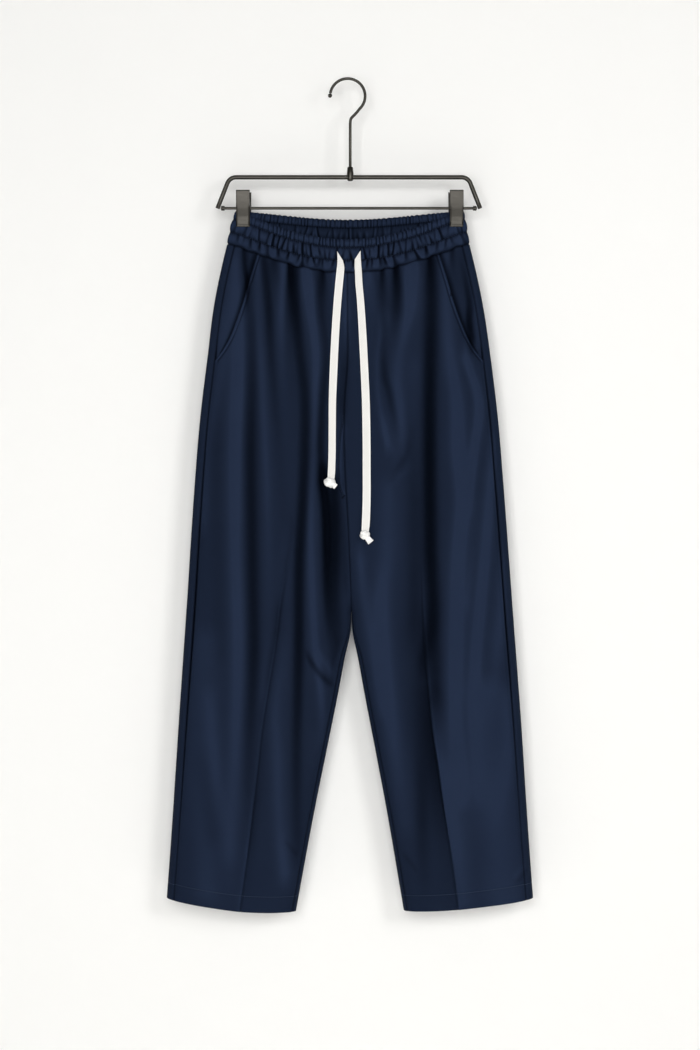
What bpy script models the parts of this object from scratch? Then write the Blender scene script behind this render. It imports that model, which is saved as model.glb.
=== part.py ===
"""Wide-leg drawstring trousers, hung flat from a metal clip hanger. Blender 4.5.

The origin is the inner top of the hook, the front faces -Y and +Z is up. The tables and sizes are
in millimetres, and MM turns them into metres. "Drop" is a distance below the origin. "Turn" goes
round one half of the trousers: 0 is its outer fold, pi its inner edge, with the front between them,
and pi to 2 pi is its back. "Side" is -1 for the half on the left of the picture and 1 for the other.
"""

import math

import bmesh
import bpy
import numpy as np

MM = 0.001
PI = math.pi
SEAM = 0.3  # gap between neighbouring pieces
CLOTH = 1.5  # wall of a single layer
BAND_WALL = 2.0  # wall of the waistband, a casing over elastic

# Silhouette of the trousers: drop, left edge, right edge.
OUTLINE = (
    (183, -158, 161),
    (206, -164, 164.5),
    (230, -170, 169.5),
    (266, -178.5, 178),
    (308, -187, 187),
    (392, -198, 199.5),
    (476, -208, 209.5),
    (560, -215, 216.5),
    (728, -226, 229),
    (896, -237.5, 241.5),
    (1064, -248.5, 252.5),
    (1166, -256, 260),
)
# Line between the halves, the rise seam and then the middle of the gap: drop, x.
MIDDLE = ((183, -1.5), (420, -4), (600, -1), (738, 4), (812, 4), (1166, 2))
# Gap between the legs: drop, half of its width.
LEG_GAP = ((738, SEAM / 2), (770, 1.2), (812, 9.8), (854, 17.5), (938, 34), (1022, 50.4), (1166, 76))
# How far the cloth stands from the middle plane: drop, front, back.
DEPTH = ((183, 26, 19), (270, 27, 20), (450, 28, 23), (738, 25, 22), (950, 24, 22), (1166, 29, 27))
# Pressed creases, as a share of the way from outer fold to inner edge: drop, left leg, right leg.
CREASE = ((230, 0.62, 0.60), (540, 0.63, 0.604), (735, 0.567, 0.56), (1064, 0.555, 0.572), (1166, 0.55, 0.565))
# Hem: share of the way across, drop on the left leg, drop on the right leg.
HEM = ((0, 1144, 1144), (0.3, 1153.5, 1151.5), (0.56, 1160, 1157), (1, 1162.5, 1161.5))
# Pocket opening: drop, inset from the silhouette.
POCKET = ((240, 46.5), (283, 43.5), (313, 41), (340, 35.5), (362, 29), (380, 20.5), (394, 11.2))

SAG_FRONT = 43  # how much lower the front's top edge hangs at the middle than at the clips
SAG_BACK = 10
SAG_POWER = 1.2
BAND_TOP = 183.4
BAND_HEIGHT = 46
STITCH_ROWS = (0.25, 0.64)  # the band's two stitch lines, as shares of its height
PUFFS = (1.0, 2.0, 1.3)  # how far each of the band's three rows puffs out
GATHERS = 26  # waves across the front of the band, and as many across its back
GATHER_HEIGHT = 1.3
GATHER_START = 16  # distance over which they begin, past the clip
STITCH_HOLD = 0.55  # share of a gather's height that is held down between the rows' ends
CLAMPED_PUFF = 0.15  # share of the puffs that is left under the clips
BAND_EDGE_TURN = 0.01  # turn where the band's halves end, just short of the fold
BAND_EDGE_STEP = 1.5  # from a half's end to its next column
BAND_EDGE_WALLS = (0.4, 0.55)  # share of the wall's thickness at those two columns
CLAMPED_HALF = 3.0  # half thickness of the band between the clip's jaws
CLIP_REACH = 27  # from the band's fold to where the clip lets go
PINCH_END = 315  # drop where the clips' pinch has faded out
RISE_START = 520  # drop where the rise begins to turn under
CROTCH = 738
LEGS_APART = 800  # drop where the outer part of the section has become a leg's
LEG_SQUARENESS = 0.12
SIDE_ROLL = 11  # the side seam lies this far in on the front
SIDE_SHARE = 0.06  # about where that is, as a share of the way across
INSEAM_ROLL = 5  # and the inseam this far in, below the crotch
INSEAM_ROLL_RISE = 80  # drop over which the inseam rolls on to the front
CREASE_HEIGHT = 3.5
CREASE_WIDTH = 12
CREASE_RISE = (500, 760)  # drops between which the pressed crease grows to its height
FLAT_EDGES = (16, 14)  # folds fade out this near the outer fold, and this near the inner edge of a leg
FOLD_FADE = 0.3  # share of a fold's length over which each of its ends fades out
HEM_DEPTH = 22
POCKET_UNDERLAP = 7
POCKET_SINK = 2.6  # how far the hip piece lies behind the front's outer face at the opening

# Folds of the front: name, x and drop of each end, bow to the right, half width, height (valleys below 0).
FRONT_FOLDS = (
    ("left outer ridge", -168, 330, -172, 700, 0, 16, 2.0),
    ("left outer valley", -140, 400, -136, 860, 0, 13, -4.0),
    ("left middle ridge", -112, 290, -108, 800, 0, 13, 2.5),
    ("left upper valley", -60, 276, -56, 500, 3, 12, -4.0),
    ("left inner ridge", -50, 420, -56, 830, 0, 12, 4.0),
    ("left inner valley", -20, 520, -32, 850, -2, 10, -9.0),
    ("left lower valley", -90, 800, -84, 1060, 0, 14, -2.5),
    ("left centre ridge", -8, 470, -6, 700, 0, 7, 3.0),
    ("left tuck at the knot", -40, 790, -14, 846, 0, 6, 2.5),
    ("right long valley", 112, 262, 116, 900, 3, 17, -6.0),
    ("right middle ridge", 72, 300, 78, 640, 0, 16, 2.5),
    ("right outer ridge", 146, 330, 152, 760, 0, 15, 3.0),
    ("right diagonal", 42, 320, 84, 512, -8, 8, -3.5),
    ("right diagonal end", 88, 500, 62, 552, 0, 7, -2.5),
    ("right lower valley", 108, 860, 138, 1100, 0, 15, -2.5),
    ("right outer diagonal", 160, 440, 190, 560, 0, 9, -2.0),
    ("left tuck 1", -143, 252, -140, 330, 0, 5, -2.0),
    ("left tuck 2", -80, 262, -84, 360, 0, 6, -3.0),
    ("left tuck 3", -36, 270, -38, 350, 0, 5, -2.0),
    ("right tuck 1", 48, 270, 46, 350, 0, 5, -2.0),
    ("right tuck 2", 68, 266, 66, 370, 0, 6, -2.5),
    ("right tuck 3", 144, 256, 142, 330, 0, 5, -2.0),
    ("rise pinch", -10, 446, -4, 480, 0, 6, 2.0),
)
# Folds of the back, plainer.
BACK_FOLDS = (
    ("left outer valley", -134, 340, -140, 840, 0, 15, -4.0),
    ("left middle ridge", -96, 300, -100, 760, 0, 16, 3.0),
    ("left inner valley", -30, 540, -36, 860, 0, 12, -7.0),
    ("right outer valley", 132, 330, 140, 880, 0, 16, -4.5),
    ("right middle ridge", 92, 300, 98, 700, 0, 16, 3.0),
    ("right inner valley", 34, 560, 42, 850, 0, 12, -6.0),
    ("left tuck 1", -110, 236, -112, 320, 0, 6, -2.5),
    ("left tuck 2", -52, 246, -54, 350, 0, 6, -2.5),
    ("right tuck 1", 50, 246, 50, 350, 0, 6, -2.5),
    ("right tuck 2", 112, 236, 114, 320, 0, 6, -2.5),
)

# Rows of a panel, as drops along its middle line or inseam, below the first row at the waist seam.
UPPER_LEVELS = (292, 313, 334, 356, 378, 404, 431.8, 462, 500, 540, 580, 620, 660, 700, 724)
LOWER_LEVELS = (738, 756, 785, 830, 890, 960, 1035, 1110)
AFTER_PI = 1e-4  # just past the inner edge, so that the point counts as the back's
EDGE_STEP = 0.07  # turn from a panel's cut edge to its next column
POCKET_ROWS = 7  # how many of the upper rows the pocket opening crosses
BACK_FIRST_ROW = 16  # the back starts higher, so it has one more row this far below its top

HANGER_X = 0.5  # middle of the hanger's bar
BAR_HALF = 184
BAR_RADIUS = 3.1
BAR_DROP = 136.2
BAR_END_DROP = 180
BAR_SLANT = 21.4
BAR_BEND = 13.2
ROD_RADIUS = 1.95
ROD_DROP = 179.6
COLLAR_RADIUS = 3.4
COLLAR_LENGTH = 4.6
COLLAR_INSET = 3.2
WIRE_RADIUS = 2.0
HOOK_RADIUS = 24.5
HOOK_X = -1.2  # middle of the hook's bend
HOOK_ARC = (171, -46)  # degrees from the ball's end over the top
HOOK_STEPS = 26
HOOK_BALL = 2.9
STEM_X = 2.4
STEM_TOP_DROP = 58
# The bend from the hook into the stem: distance right of the stem, distance below its top.
STEM_BEND = ((7.5, -10.5), (1.6, -5), (0.4, -2), (0, 2))
FERRULE_TOP = 121.5
# Profile of the ferrule, from its top down: distance down, radius.
FERRULE = ((0, 0), (0, 3.2), (1.5, 4.0), (9, 4.65), (17.5, 4.65), (19.9, 3.0), (19.9, 0))
CLIP_X = (-147.4, 151)
CLIP_WIDTH = 19.3
CLIP_SHEET = 1.1
SPRING_LENGTH = 13
SPRING_RADIUS = 3.6
BACK_FLANGE = 6.5  # reach of the back jaw's flanges, short of the front's
BACK_JAW_SHIFT = 1.2  # the back jaw sits this much nearer the middle
# Side profile of a jaw: drop, distance of its outer face from the middle plane, reach of its flanges.
JAW = (
    (155.5, 12.5, 2.2),
    (166, 11.6, 4.0),
    (173, 10.6, 10.0),
    (180, 9.2, 12.0),
    (182.4, 8.6, 11.4),
    (183.0, 8.4, 2.0),
    (192, 5.9, 1.8),
    (199, 4.7, 1.2),
    (206, 4.5, 1.15),
)

TAPE_WIDTH = 11.4
TAPE_THICK = 2.0
# Drawstring ends: drop, x of the middle, y of the middle, how much lower the right edge is.
LEFT_TAPE = (
    (245, -12.5, -30.8, 9.0),
    (254, -11.6, -30.8, 5.0),
    (266, -12.6, -30.4, 0),
    (300, -15.6, -29.1, 0),
    (350, -19.0, -29.3, 0),
    (400, -21.4, -29.5, 0),
    (460, -23.2, -29.8, 0),
    (520, -23.8, -29.7, 0),
    (558, -25.4, -30.3, 0),
)
RIGHT_TAPE = (
    (245, 13.6, -30.3, -9.0),
    (254, 12.6, -30.2, -5.0),
    (266, 13.2, -29.9, 0),
    (308, 16.4, -29.0, 0),
    (360, 19.8, -29.2, 0),
    (410, 22.2, -29.4, 0),
    (470, 24.0, -29.5, 0),
    (540, 24.6, -29.3, 0),
    (600, 24.6, -29.6, 0),
    (629.5, 24.4, -30.6, 0),
)
# Knots: x, y, drop of the middle; half sizes across, deep and tall.
LEFT_KNOT = (-25.4, -31.2, 566, 9.4, 6.4, 7.4)
RIGHT_KNOT = (23.4, -31.6, 637, 8.2, 6.4, 7.0)
# The tail below the right knot, in the columns of the tapes.
RIGHT_TAIL = ((645.3, 29.4, -31.6, 2), (653, 32.4, -32.0, 3))


# ---------------------------------------------------------------- shape of the cloth


def ease(t):
    """Rises smoothly from 0 at t = 0 to 1 at t = 1."""
    t = np.clip(t, 0.0, 1.0)
    return t * t * (3 - 2 * t)


def smooth(at, rows, column=1):
    """A table's column at the given places of its first column, along a cubic curve."""
    table = np.array([row[: column + 1] for row in rows], float)
    xs, ys = table[:, 0], table[:, column]
    slopes = np.gradient(ys, xs)
    at = np.clip(at, xs[0], xs[-1])
    i = np.clip(np.searchsorted(xs, at) - 1, 0, len(xs) - 2)
    step = xs[i + 1] - xs[i]
    t = (at - xs[i]) / step
    start = (1 + 2 * t) * (1 - t) ** 2 * ys[i] + t * (1 - t) ** 2 * step * slopes[i]
    return start + t**2 * (3 - 2 * t) * ys[i + 1] + t**2 * (t - 1) * step * slopes[i + 1]


def edges(side, drop):
    """The x of the outer and inner edge of one half."""
    outer = smooth(drop, OUTLINE, 1 if side < 0 else 2)
    return outer, smooth(drop, MIDDLE) + side * smooth(drop, LEG_GAP)


def side_column(side):
    return 1 if side < 0 else 2


def share_of(turn):
    """How far across its half a turn lies, 0 at the outer fold and 1 at the inner edge."""
    return np.sin(turn / 2) ** 2


def turn_of(share):
    return 2 * np.arcsin(np.sqrt(np.clip(share, 0, 1)))


def section(turn, drop, half, depth):
    """Distance of a face from the middle plane: pinched at the clips, rounded at the hips, closed legs."""
    inset = share_of(turn) * half
    pinched = CLAMPED_HALF * np.sqrt(1 - np.exp(-2 * inset / CLAMPED_HALF))
    pinched = pinched + (depth - CLAMPED_HALF) * ease((inset - CLIP_REACH) / (half - CLIP_REACH))
    hips = depth * np.sin(turn / 2) * np.sqrt(1 + np.cos(turn / 2) ** 2)
    leg = depth * (np.sin(turn) + LEG_SQUARENESS * np.sin(3 * turn))
    fall = ease((drop - BAND_TOP - BAND_HEIGHT / 2) / (PINCH_END - BAND_TOP - BAND_HEIGHT / 2))
    under = np.clip((drop - RISE_START) / (CROTCH - RISE_START), 0, 1)
    inner_weight = share_of(turn) ** 3
    closed = inner_weight * (1 - np.sqrt(1 - under**2))
    closed = closed + (1 - inner_weight) * ease((drop - RISE_START) / (LEGS_APART - RISE_START))
    return (1 - closed) * ((1 - fall) * pinched + fall * hips) + closed * leg


def fold_height(x, drop, folds):
    """Sum of the folds: each a soft ridge or trough along a bowed line, fading out at its ends."""
    total = np.zeros(np.broadcast(x, drop).shape)
    for _, x0, drop0, x1, drop1, bow, half_width, height in folds:
        along_x, along_drop = x1 - x0, drop1 - drop0
        length = math.hypot(along_x, along_drop)
        t = ((x - x0) * along_x + (drop - drop0) * along_drop) / length**2
        across = ((x - x0) * along_drop - (drop - drop0) * along_x) / length
        across = across - bow * 4 * t * (1 - t)
        fade = ease(t / FOLD_FADE) * ease((1 - t) / FOLD_FADE)
        total = total + height * fade * np.exp(-((across / half_width) ** 2))
    return total


def skin(side, turn, drop):
    """Outer surface of one half: x and y at a turn and drop, creases and folds included."""
    turn = np.mod(turn, 2 * PI)
    front = turn <= PI
    face = np.where(front, turn, 2 * PI - turn)
    outer, inner = edges(side, drop)
    half = np.abs(inner - outer)
    share = share_of(face)
    x = outer + (inner - outer) * share
    depth = np.where(front, smooth(drop, DEPTH, 1), smooth(drop, DEPTH, 2))
    out = section(face, drop, half, depth)
    from_crease = (share - smooth(drop, CREASE, side_column(side))) * half
    rise_start, rise_end = CREASE_RISE
    risen = ease((drop - rise_start) / (rise_end - rise_start))
    relief = CREASE_HEIGHT * risen * np.exp(-np.abs(from_crease) / CREASE_WIDTH)
    relief = relief + np.where(front, fold_height(x, drop, FRONT_FOLDS), fold_height(x, drop, BACK_FOLDS))
    flat_outer, flat_inner = FLAT_EDGES
    edge = ease(share * half / flat_outer)
    legs = ease((drop - RISE_START) / (CROTCH - RISE_START))
    inside = 1 - legs * (1 - ease((1 - share) * half / flat_inner))
    out = out + relief * edge * inside
    return x, np.where(front, -out, out)


def top_drop(share, back):
    """Drop of the band's top edge, from its share of the way in from the fold."""
    sag = SAG_BACK if back else SAG_FRONT
    return BAND_TOP + sag * np.sin(PI / 2 * share) ** SAG_POWER


def hem_drop(side, share):
    return smooth(share, HEM, side_column(side))


# ---------------------------------------------------------------- making meshes


def material(name, color, roughness=0.85, metallic=0.0):
    made = bpy.data.materials.new(name)
    made.use_nodes = True
    shader = made.node_tree.nodes["Principled BSDF"]
    shader.inputs["Base Color"].default_value = (*color, 1)
    shader.inputs["Roughness"].default_value = roughness
    shader.inputs["Metallic"].default_value = metallic
    made.diffuse_color = (*color, 1)
    return made


def add_object(name, mesh, finish):
    obj = bpy.data.objects.new(name, mesh)
    mesh.materials.append(finish)
    bpy.data.collections["drawstring_trousers"].objects.link(obj)
    return obj


def adopt(obj, name, finish):
    """Gives a primitive its name and material, and moves it to the object's collection."""
    obj.name = name
    obj.data.name = name
    obj.data.materials.append(finish)
    for collection in list(obj.users_collection):
        collection.objects.unlink(obj)
    bpy.data.collections["drawstring_trousers"].objects.link(obj)


def sheet(name, x, y, drop, finish, wall=CLOTH, closed=False):
    """A cloth wall from a grid of outer points: rows run down, columns run left to right or round."""
    rows, columns = x.shape
    points = np.stack([x, y, -drop], axis=-1).reshape(-1, 3) * MM
    last = columns if closed else columns - 1
    faces = []
    for row in range(rows - 1):
        for column in range(last):
            after = (column + 1) % columns
            a, b = row * columns + column, row * columns + after
            faces.append((a, a + columns, b + columns, b))
    mesh = bpy.data.meshes.new(name)
    mesh.from_pydata(points.tolist(), [], faces)
    obj = add_object(name, mesh, finish)
    thicken = obj.modifiers.new("wall", "SOLIDIFY")
    thicken.thickness = wall * MM
    thicken.offset = -1
    thicken.use_even_offset = True
    return obj


def shell(name, outer, inner, finish):
    """A closed wall between two grids of x, y and drop: rows run down, columns run left to right."""
    rows, columns = outer.shape[:2]
    behind = rows * columns
    points = np.concatenate([outer.reshape(-1, 3), inner.reshape(-1, 3)]) * (MM, MM, -MM)
    index = np.arange(behind).reshape(rows, columns)
    faces = []
    for a in index[:-1, :-1].ravel().tolist():
        faces.append((a, a + columns, a + columns + 1, a + 1))
        faces.append((behind + a, behind + a + 1, behind + a + columns + 1, behind + a + columns))
    rim = np.concatenate([index[0, :-1], index[:-1, -1], index[-1, :0:-1], index[:0:-1, 0]]).tolist()
    for a, b in zip(rim, rim[1:] + rim[:1]):
        faces.append((a, b, behind + b, behind + a))
    mesh = bpy.data.meshes.new(name)
    mesh.from_pydata(points.tolist(), [], faces)
    return add_object(name, mesh, finish)


def loft(name, rings, finish):
    """A closed solid through rings of points in mm, x, y and drop, with flat ends."""
    rings = np.array(rings, float)
    count, around = rings.shape[:2]
    points = (rings * (1, 1, -1)).reshape(-1, 3) * MM
    faces = [tuple(range(around))[::-1], tuple((count - 1) * around + k for k in range(around))]
    for ring in range(count - 1):
        for k in range(around):
            a, b = ring * around + k, ring * around + (k + 1) % around
            faces.append((a, b, b + around, a + around))
    mesh = bpy.data.meshes.new(name)
    mesh.from_pydata(points.tolist(), [], faces)
    shape = bmesh.new()
    shape.from_mesh(mesh)
    bmesh.ops.recalc_face_normals(shape, faces=shape.faces)
    shape.to_mesh(mesh)
    shape.free()
    return add_object(name, mesh, finish)


def tube(name, route, radius, finish, sides=3):
    """A round bar along a route of x, y, drop points, with filled ends."""
    curve = bpy.data.curves.new(name, "CURVE")
    curve.dimensions = "3D"
    curve.bevel_depth = radius * MM
    curve.bevel_resolution = sides
    curve.use_fill_caps = True
    line = curve.splines.new("POLY")
    line.points.add(len(route) - 1)
    for point, (x, y, drop) in zip(line.points, route):
        point.co = (x * MM, y * MM, -drop * MM, 1)
    return add_object(name, curve, finish)


def turned(name, profile, x, drop, finish, steps=16):
    """A solid turned about a vertical axis: the profile's rows are drop and radius."""
    mesh = bpy.data.meshes.new(name)
    points = [(radius * MM, 0, -level * MM) for level, radius in profile]
    mesh.from_pydata(points, [(k, k + 1) for k in range(len(points) - 1)], [])
    obj = add_object(name, mesh, finish)
    obj.location = (x * MM, 0, -drop * MM)
    screw = obj.modifiers.new("turn", "SCREW")
    screw.steps = steps
    screw.render_steps = steps
    screw.use_merge_vertices = True
    screw.merge_threshold = 0.0000015
    screw.use_normal_calculate = True
    return obj


def cut(obj, cutter):
    """Takes a hidden cutter out of an object."""
    cutter.hide_render = True
    removal = obj.modifiers.new("cut", "BOOLEAN")
    removal.operation = "DIFFERENCE"
    removal.solver = "EXACT"
    removal.object = cutter


def cylinder_along_x(name, radius, length, x, drop):
    bpy.ops.mesh.primitive_cylinder_add(
        vertices=16,
        radius=radius * MM,
        depth=length * MM,
        location=(x * MM, 0, -drop * MM),
        rotation=(0, PI / 2, 0),
    )
    made = bpy.context.object
    made.name = name
    return made


# ---------------------------------------------------------------- cloth pieces


def seam_drop(share, back):
    """Drop of a panel's top edge, half a seam's gap below the band."""
    return top_drop(share, back) + BAND_HEIGHT + SEAM / 2


def down_share(side, level, back):
    """Share of the way down its panel of a row, from the row's drop at the inner edge."""
    top = seam_drop(1.0, back)
    return (level - top) / (hem_drop(side, 1.0) - top)


def row_drop(side, share, down, back):
    """Drop of a panel's row at a share of the way across."""
    top = seam_drop(share, back)
    return top + (hem_drop(side, share) - top) * down


def pocket_share(side, level):
    """Share of the way across where a front row meets the pocket opening, or the side seam below it."""
    drop = np.linspace(POCKET[0][0], POCKET[-1][0], 60)
    outer, inner = edges(side, drop)
    share = smooth(drop, POCKET) / np.abs(inner - outer)
    top = seam_drop(share, False)
    down = (drop - top) / (hem_drop(side, share) - top)
    return np.interp(down_share(side, level, False), down, share)


def side_share(side, level, back=False):
    """Share of the way across where a row meets the side seam."""
    drop = row_drop(side, SIDE_SHARE, down_share(side, level, back), False)
    outer, inner = edges(side, drop)
    return SIDE_ROLL / np.abs(inner - outer)


def inseam_share(side, level):
    outer, inner = edges(side, level)
    roll = INSEAM_ROLL * ease((level - CROTCH) / INSEAM_ROLL_RISE)
    return 1 - roll / np.abs(inner - outer)


def spans(*stops_and_counts):
    """Turns from the first stop through the others, with a count of steps between each pair."""
    parts = []
    for start, count, stop in zip(stops_and_counts[::2], stops_and_counts[1::2], stops_and_counts[2::2]):
        parts.append(start + (stop - start) * np.arange(count) / count)
    parts.append(np.array([stops_and_counts[-1]]))
    return np.concatenate(parts)


def seam_turn(turn, half, depth=25):
    """A little over half a seam's gap, as a turn: the gap over how fast the cloth passes at that turn."""
    return 0.65 * SEAM / math.hypot(half / 2 * math.sin(turn), depth * math.cos(turn))


def middle_levels(side, back):
    top = seam_drop(1.0, back)
    extra = [top + BACK_FIRST_ROW] if back else []
    return np.array([top, *extra, *UPPER_LEVELS, *LOWER_LEVELS, hem_drop(side, 1.0)])


def front_turns(side, row, level):
    """Turns of a front row's columns, from the pocket opening or side seam to the rise or inseam."""
    outer, inner = edges(side, level)
    half = abs(inner - outer)
    crossing = row < POCKET_ROWS
    start = turn_of(pocket_share(side, level) if crossing else side_share(side, level))
    start = start + (0 if crossing else seam_turn(start, half))
    crease = turn_of(smooth(level, CREASE, side_column(side)))
    end = turn_of(inseam_share(side, level))
    end = end - (seam_turn(end, half) if level >= CROTCH else 0)
    return spans(start, 1, start + EDGE_STEP, 5, crease, 6, end - EDGE_STEP, 1, end)


def back_turns(side, level):
    """Turns of a back row's columns, from the inseam round both folds to the side seam."""
    outer, inner = edges(side, level)
    half = abs(inner - outer)
    start = turn_of(inseam_share(side, level))
    start = start + seam_turn(start, half) if level >= CROTCH else PI + AFTER_PI
    inner_fold = max(PI, start + 2 * EDGE_STEP)
    crease = 2 * PI - turn_of(smooth(level, CREASE, side_column(side)))
    end = turn_of(side_share(side, level, True))
    end = 2 * PI + end - seam_turn(end, half)
    return spans(start, 1, start + EDGE_STEP, 1, inner_fold, 7, crease, 7, 2 * PI, 2, end - EDGE_STEP, 1, end)


def front_panel(side, name, finish):
    """Front of one leg, from the pocket opening and side seam to the rise and inseam."""
    rows = []
    for row, level in enumerate(middle_levels(side, False)):
        turns = front_turns(side, row, level)
        drop = row_drop(side, share_of(turns), down_share(side, level, False), False)
        rows.append((*skin(side, turns, drop), drop))
    return grid_sheet(name, side, rows, finish)


def back_panel(side, name, finish):
    """Back of one leg, rolled round the outer fold to the side seam and round the inner fold to the inseam."""
    rows = []
    for level in middle_levels(side, True):
        turns = back_turns(side, level)
        face = np.where(turns < PI, PI, np.where(turns < 2 * PI, 2 * PI - turns, turns - 2 * PI))
        down = down_share(side, level, True)
        on_front = row_drop(side, share_of(face), down, False)
        drop = np.where(turns < 2 * PI, row_drop(side, share_of(face), down, True), on_front)
        rows.append((*skin(side, turns, drop), drop))
    return grid_sheet(name, side, rows, finish)


def grid_sheet(name, side, rows, finish, wall=CLOTH):
    """A sheet from rows of x, y and drop, turned round where the half's order would face it inwards."""
    x, y, drop = (np.array([row[part] for row in rows]) for part in range(3))
    if side > 0:
        x, y, drop = x[:, ::-1], y[:, ::-1], drop[:, ::-1]
    return sheet(name, x, y, drop, finish, wall)


def pocket_bearer(side, name, finish):
    """Hip piece seen in the pocket opening: flush at the side seam, under the front at the opening."""
    rows = []
    for row, level in enumerate(middle_levels(side, False)[: POCKET_ROWS + 1]):
        outer, inner = edges(side, level)
        half = abs(inner - outer)
        tip = ease(row - POCKET_ROWS + 1)
        start = side_share(side, level) + (SEAM + CLOTH * tip) / half
        opening = max(pocket_share(side, level), start + POCKET_UNDERLAP / half)
        end = opening + POCKET_UNDERLAP / half
        shares = np.concatenate([np.linspace(start, opening, 5), [end]])
        turns = turn_of(shares)
        drop = row_drop(side, shares, down_share(side, level, False), False)
        x, y = skin(side, turns, drop)
        sink = POCKET_SINK * np.maximum(ease((shares - start) / (opening - start)), tip)
        rows.append((x, y + sink, drop))
    return grid_sheet(name, side, rows, finish, CLOTH * 0.8)


def hem_facing(side, name, finish):
    """The hem's turned-up layer inside one leg."""
    rows = []
    level = hem_drop(side, 1.0)
    turns = np.concatenate([front_turns(side, POCKET_ROWS, level)[:-1], back_turns(side, level)[:-1]])
    face = np.where(turns <= PI, turns, np.abs(2 * PI - turns))
    for up in (HEM_DEPTH, 0.5):
        drop = hem_drop(side, share_of(face)) - up
        x, y = skin(side, turns, drop)
        along_x, along_y = np.roll(x, -1) - np.roll(x, 1), np.roll(y, -1) - np.roll(y, 1)
        along = np.hypot(along_x, along_y) * -side
        inset = CLOTH + 2 * SEAM
        rows.append((x - along_y / along * inset, y + along_x / along * inset, drop))
    x, y, drop = (np.array([row[part] for row in rows]) for part in range(3))
    if side > 0:
        x, y, drop = x[:, ::-1], y[:, ::-1], drop[:, ::-1]
    return sheet(name, x, y, drop, finish, 1.0, closed=True)


def band_columns(back):
    """Side and turn of the band's columns, evenly spaced along the cloth from fold to fold."""
    fine = np.linspace(BAND_EDGE_TURN, PI, 400)
    sides = np.concatenate([np.full(400, -1), np.full(400, 1)])
    turns = np.concatenate([fine, fine[::-1]])
    drop = top_drop(share_of(turns), back) + BAND_HEIGHT / 2
    xs, ys = np.zeros(800), np.zeros(800)
    for side in (-1, 1):
        own = sides == side
        xs[own], ys[own] = skin(side, turns[own], drop[own])
    length = np.concatenate([[0], np.cumsum(np.hypot(np.diff(xs), np.diff(ys)))])
    even = np.linspace(0, length[-1], 4 * GATHERS + 1)
    stops = np.concatenate([[0, BAND_EDGE_STEP], even[1:-1], [length[-1] - BAND_EDGE_STEP, length[-1]]])
    side = np.where(stops < np.interp(400, np.arange(800), length), -1, 1)
    return side, np.interp(stops, length, turns)


def puff_of(level):
    """How far the band puffs out at a share of its height: three rows between the stitch lines."""
    stops = (0.0, *STITCH_ROWS, 1.0)
    out = np.zeros_like(level)
    for start, stop, height in zip(stops, stops[1:], PUFFS):
        within = (level >= start) & (level <= stop)
        out = np.where(within, height * np.sin(PI * (level - start) / (stop - start)), out)
    return out


def waistband(back, name, finish):
    """One half of the elasticated band, with its gathers, pinched flat under the clips."""
    sides, turns = band_columns(back)
    face = np.where(back, 2 * PI - turns, turns)
    share = share_of(turns)
    header, middle = STITCH_ROWS
    rows = np.array([0, header / 2, header, (header + middle) / 2, middle, (middle + 1) / 2, 1])
    level = np.repeat(rows[:, None], len(turns), axis=1)
    drop = top_drop(share, back) + level * (BAND_HEIGHT - SEAM / 2)
    x, y = np.zeros_like(drop), np.zeros_like(drop)
    half = np.zeros_like(drop)
    for side in (-1, 1):
        own = sides == side
        x[:, own], y[:, own] = skin(side, face[own], drop[:, own])
        outer, inner = edges(side, drop[:, own])
        half[:, own] = np.abs(inner - outer)
    along_x, along_y = np.gradient(x, axis=1), np.gradient(y, axis=1)
    along = np.hypot(along_x, along_y)
    outward = 1 if back else -1
    out_x, out_y = -along_y / along * outward, along_x / along * outward
    free = ease((share * half - CLIP_REACH) / GATHER_START)
    wave = np.sin(2 * PI * (np.arange(len(turns)) - 1) / 4)
    stitched = 1 - STITCH_HOLD * (1 - np.abs(np.cos(PI * level / middle)))
    clamped = 1 - CLAMPED_PUFF
    raised = puff_of(level) * (CLAMPED_PUFF + clamped * free) + GATHER_HEIGHT * wave * stitched * free
    wall = np.full(len(turns), BAND_WALL)
    wall[:2] *= BAND_EDGE_WALLS
    wall[:-3:-1] *= BAND_EDGE_WALLS
    outer = np.stack([x + out_x * raised, y + out_y * raised, drop], axis=-1)
    inner = np.stack([outer[..., 0] - out_x * wall, outer[..., 1] - out_y * wall, drop], axis=-1)
    inner[..., 1] = outward * np.maximum(outward * inner[..., 1], SEAM / 2)
    if back:
        outer, inner = outer[:, ::-1], inner[:, ::-1]
    return shell(name, outer, inner, finish)


# ---------------------------------------------------------------- drawstring and hanger


def tape(name, table, finish):
    """A flat cotton tape through rows of drop, x, y and slant, as a rounded strip."""
    drops = [row[0] for row in table]
    fine = np.unique(np.concatenate([np.linspace(drops[0], drops[-1], 12), drops]))
    rings = []
    for drop in fine:
        x, y, slant = (float(smooth(drop, table, column)) for column in (1, 2, 3))
        w, t = TAPE_WIDTH / 2, TAPE_THICK / 2
        corners = ((-w, 0), (-w + 1, -t), (w - 1, -t), (w, 0), (w - 1, t), (-w + 1, t))
        rings.append([(x + a, y + b, drop + slant * a / (2 * w)) for a, b in corners])
    return loft(name, rings, finish)


def ball(name, place, finish):
    """A rounded solid from the x, y and drop of its middle and its half sizes across, deep and tall."""
    x, y, drop, across, deep, tall = place
    bpy.ops.mesh.primitive_uv_sphere_add(segments=12, ring_count=8, radius=1, location=(x * MM, y * MM, -drop * MM))
    made = bpy.context.object
    made.scale = (across * MM, deep * MM, tall * MM)
    adopt(made, name, finish)


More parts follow.
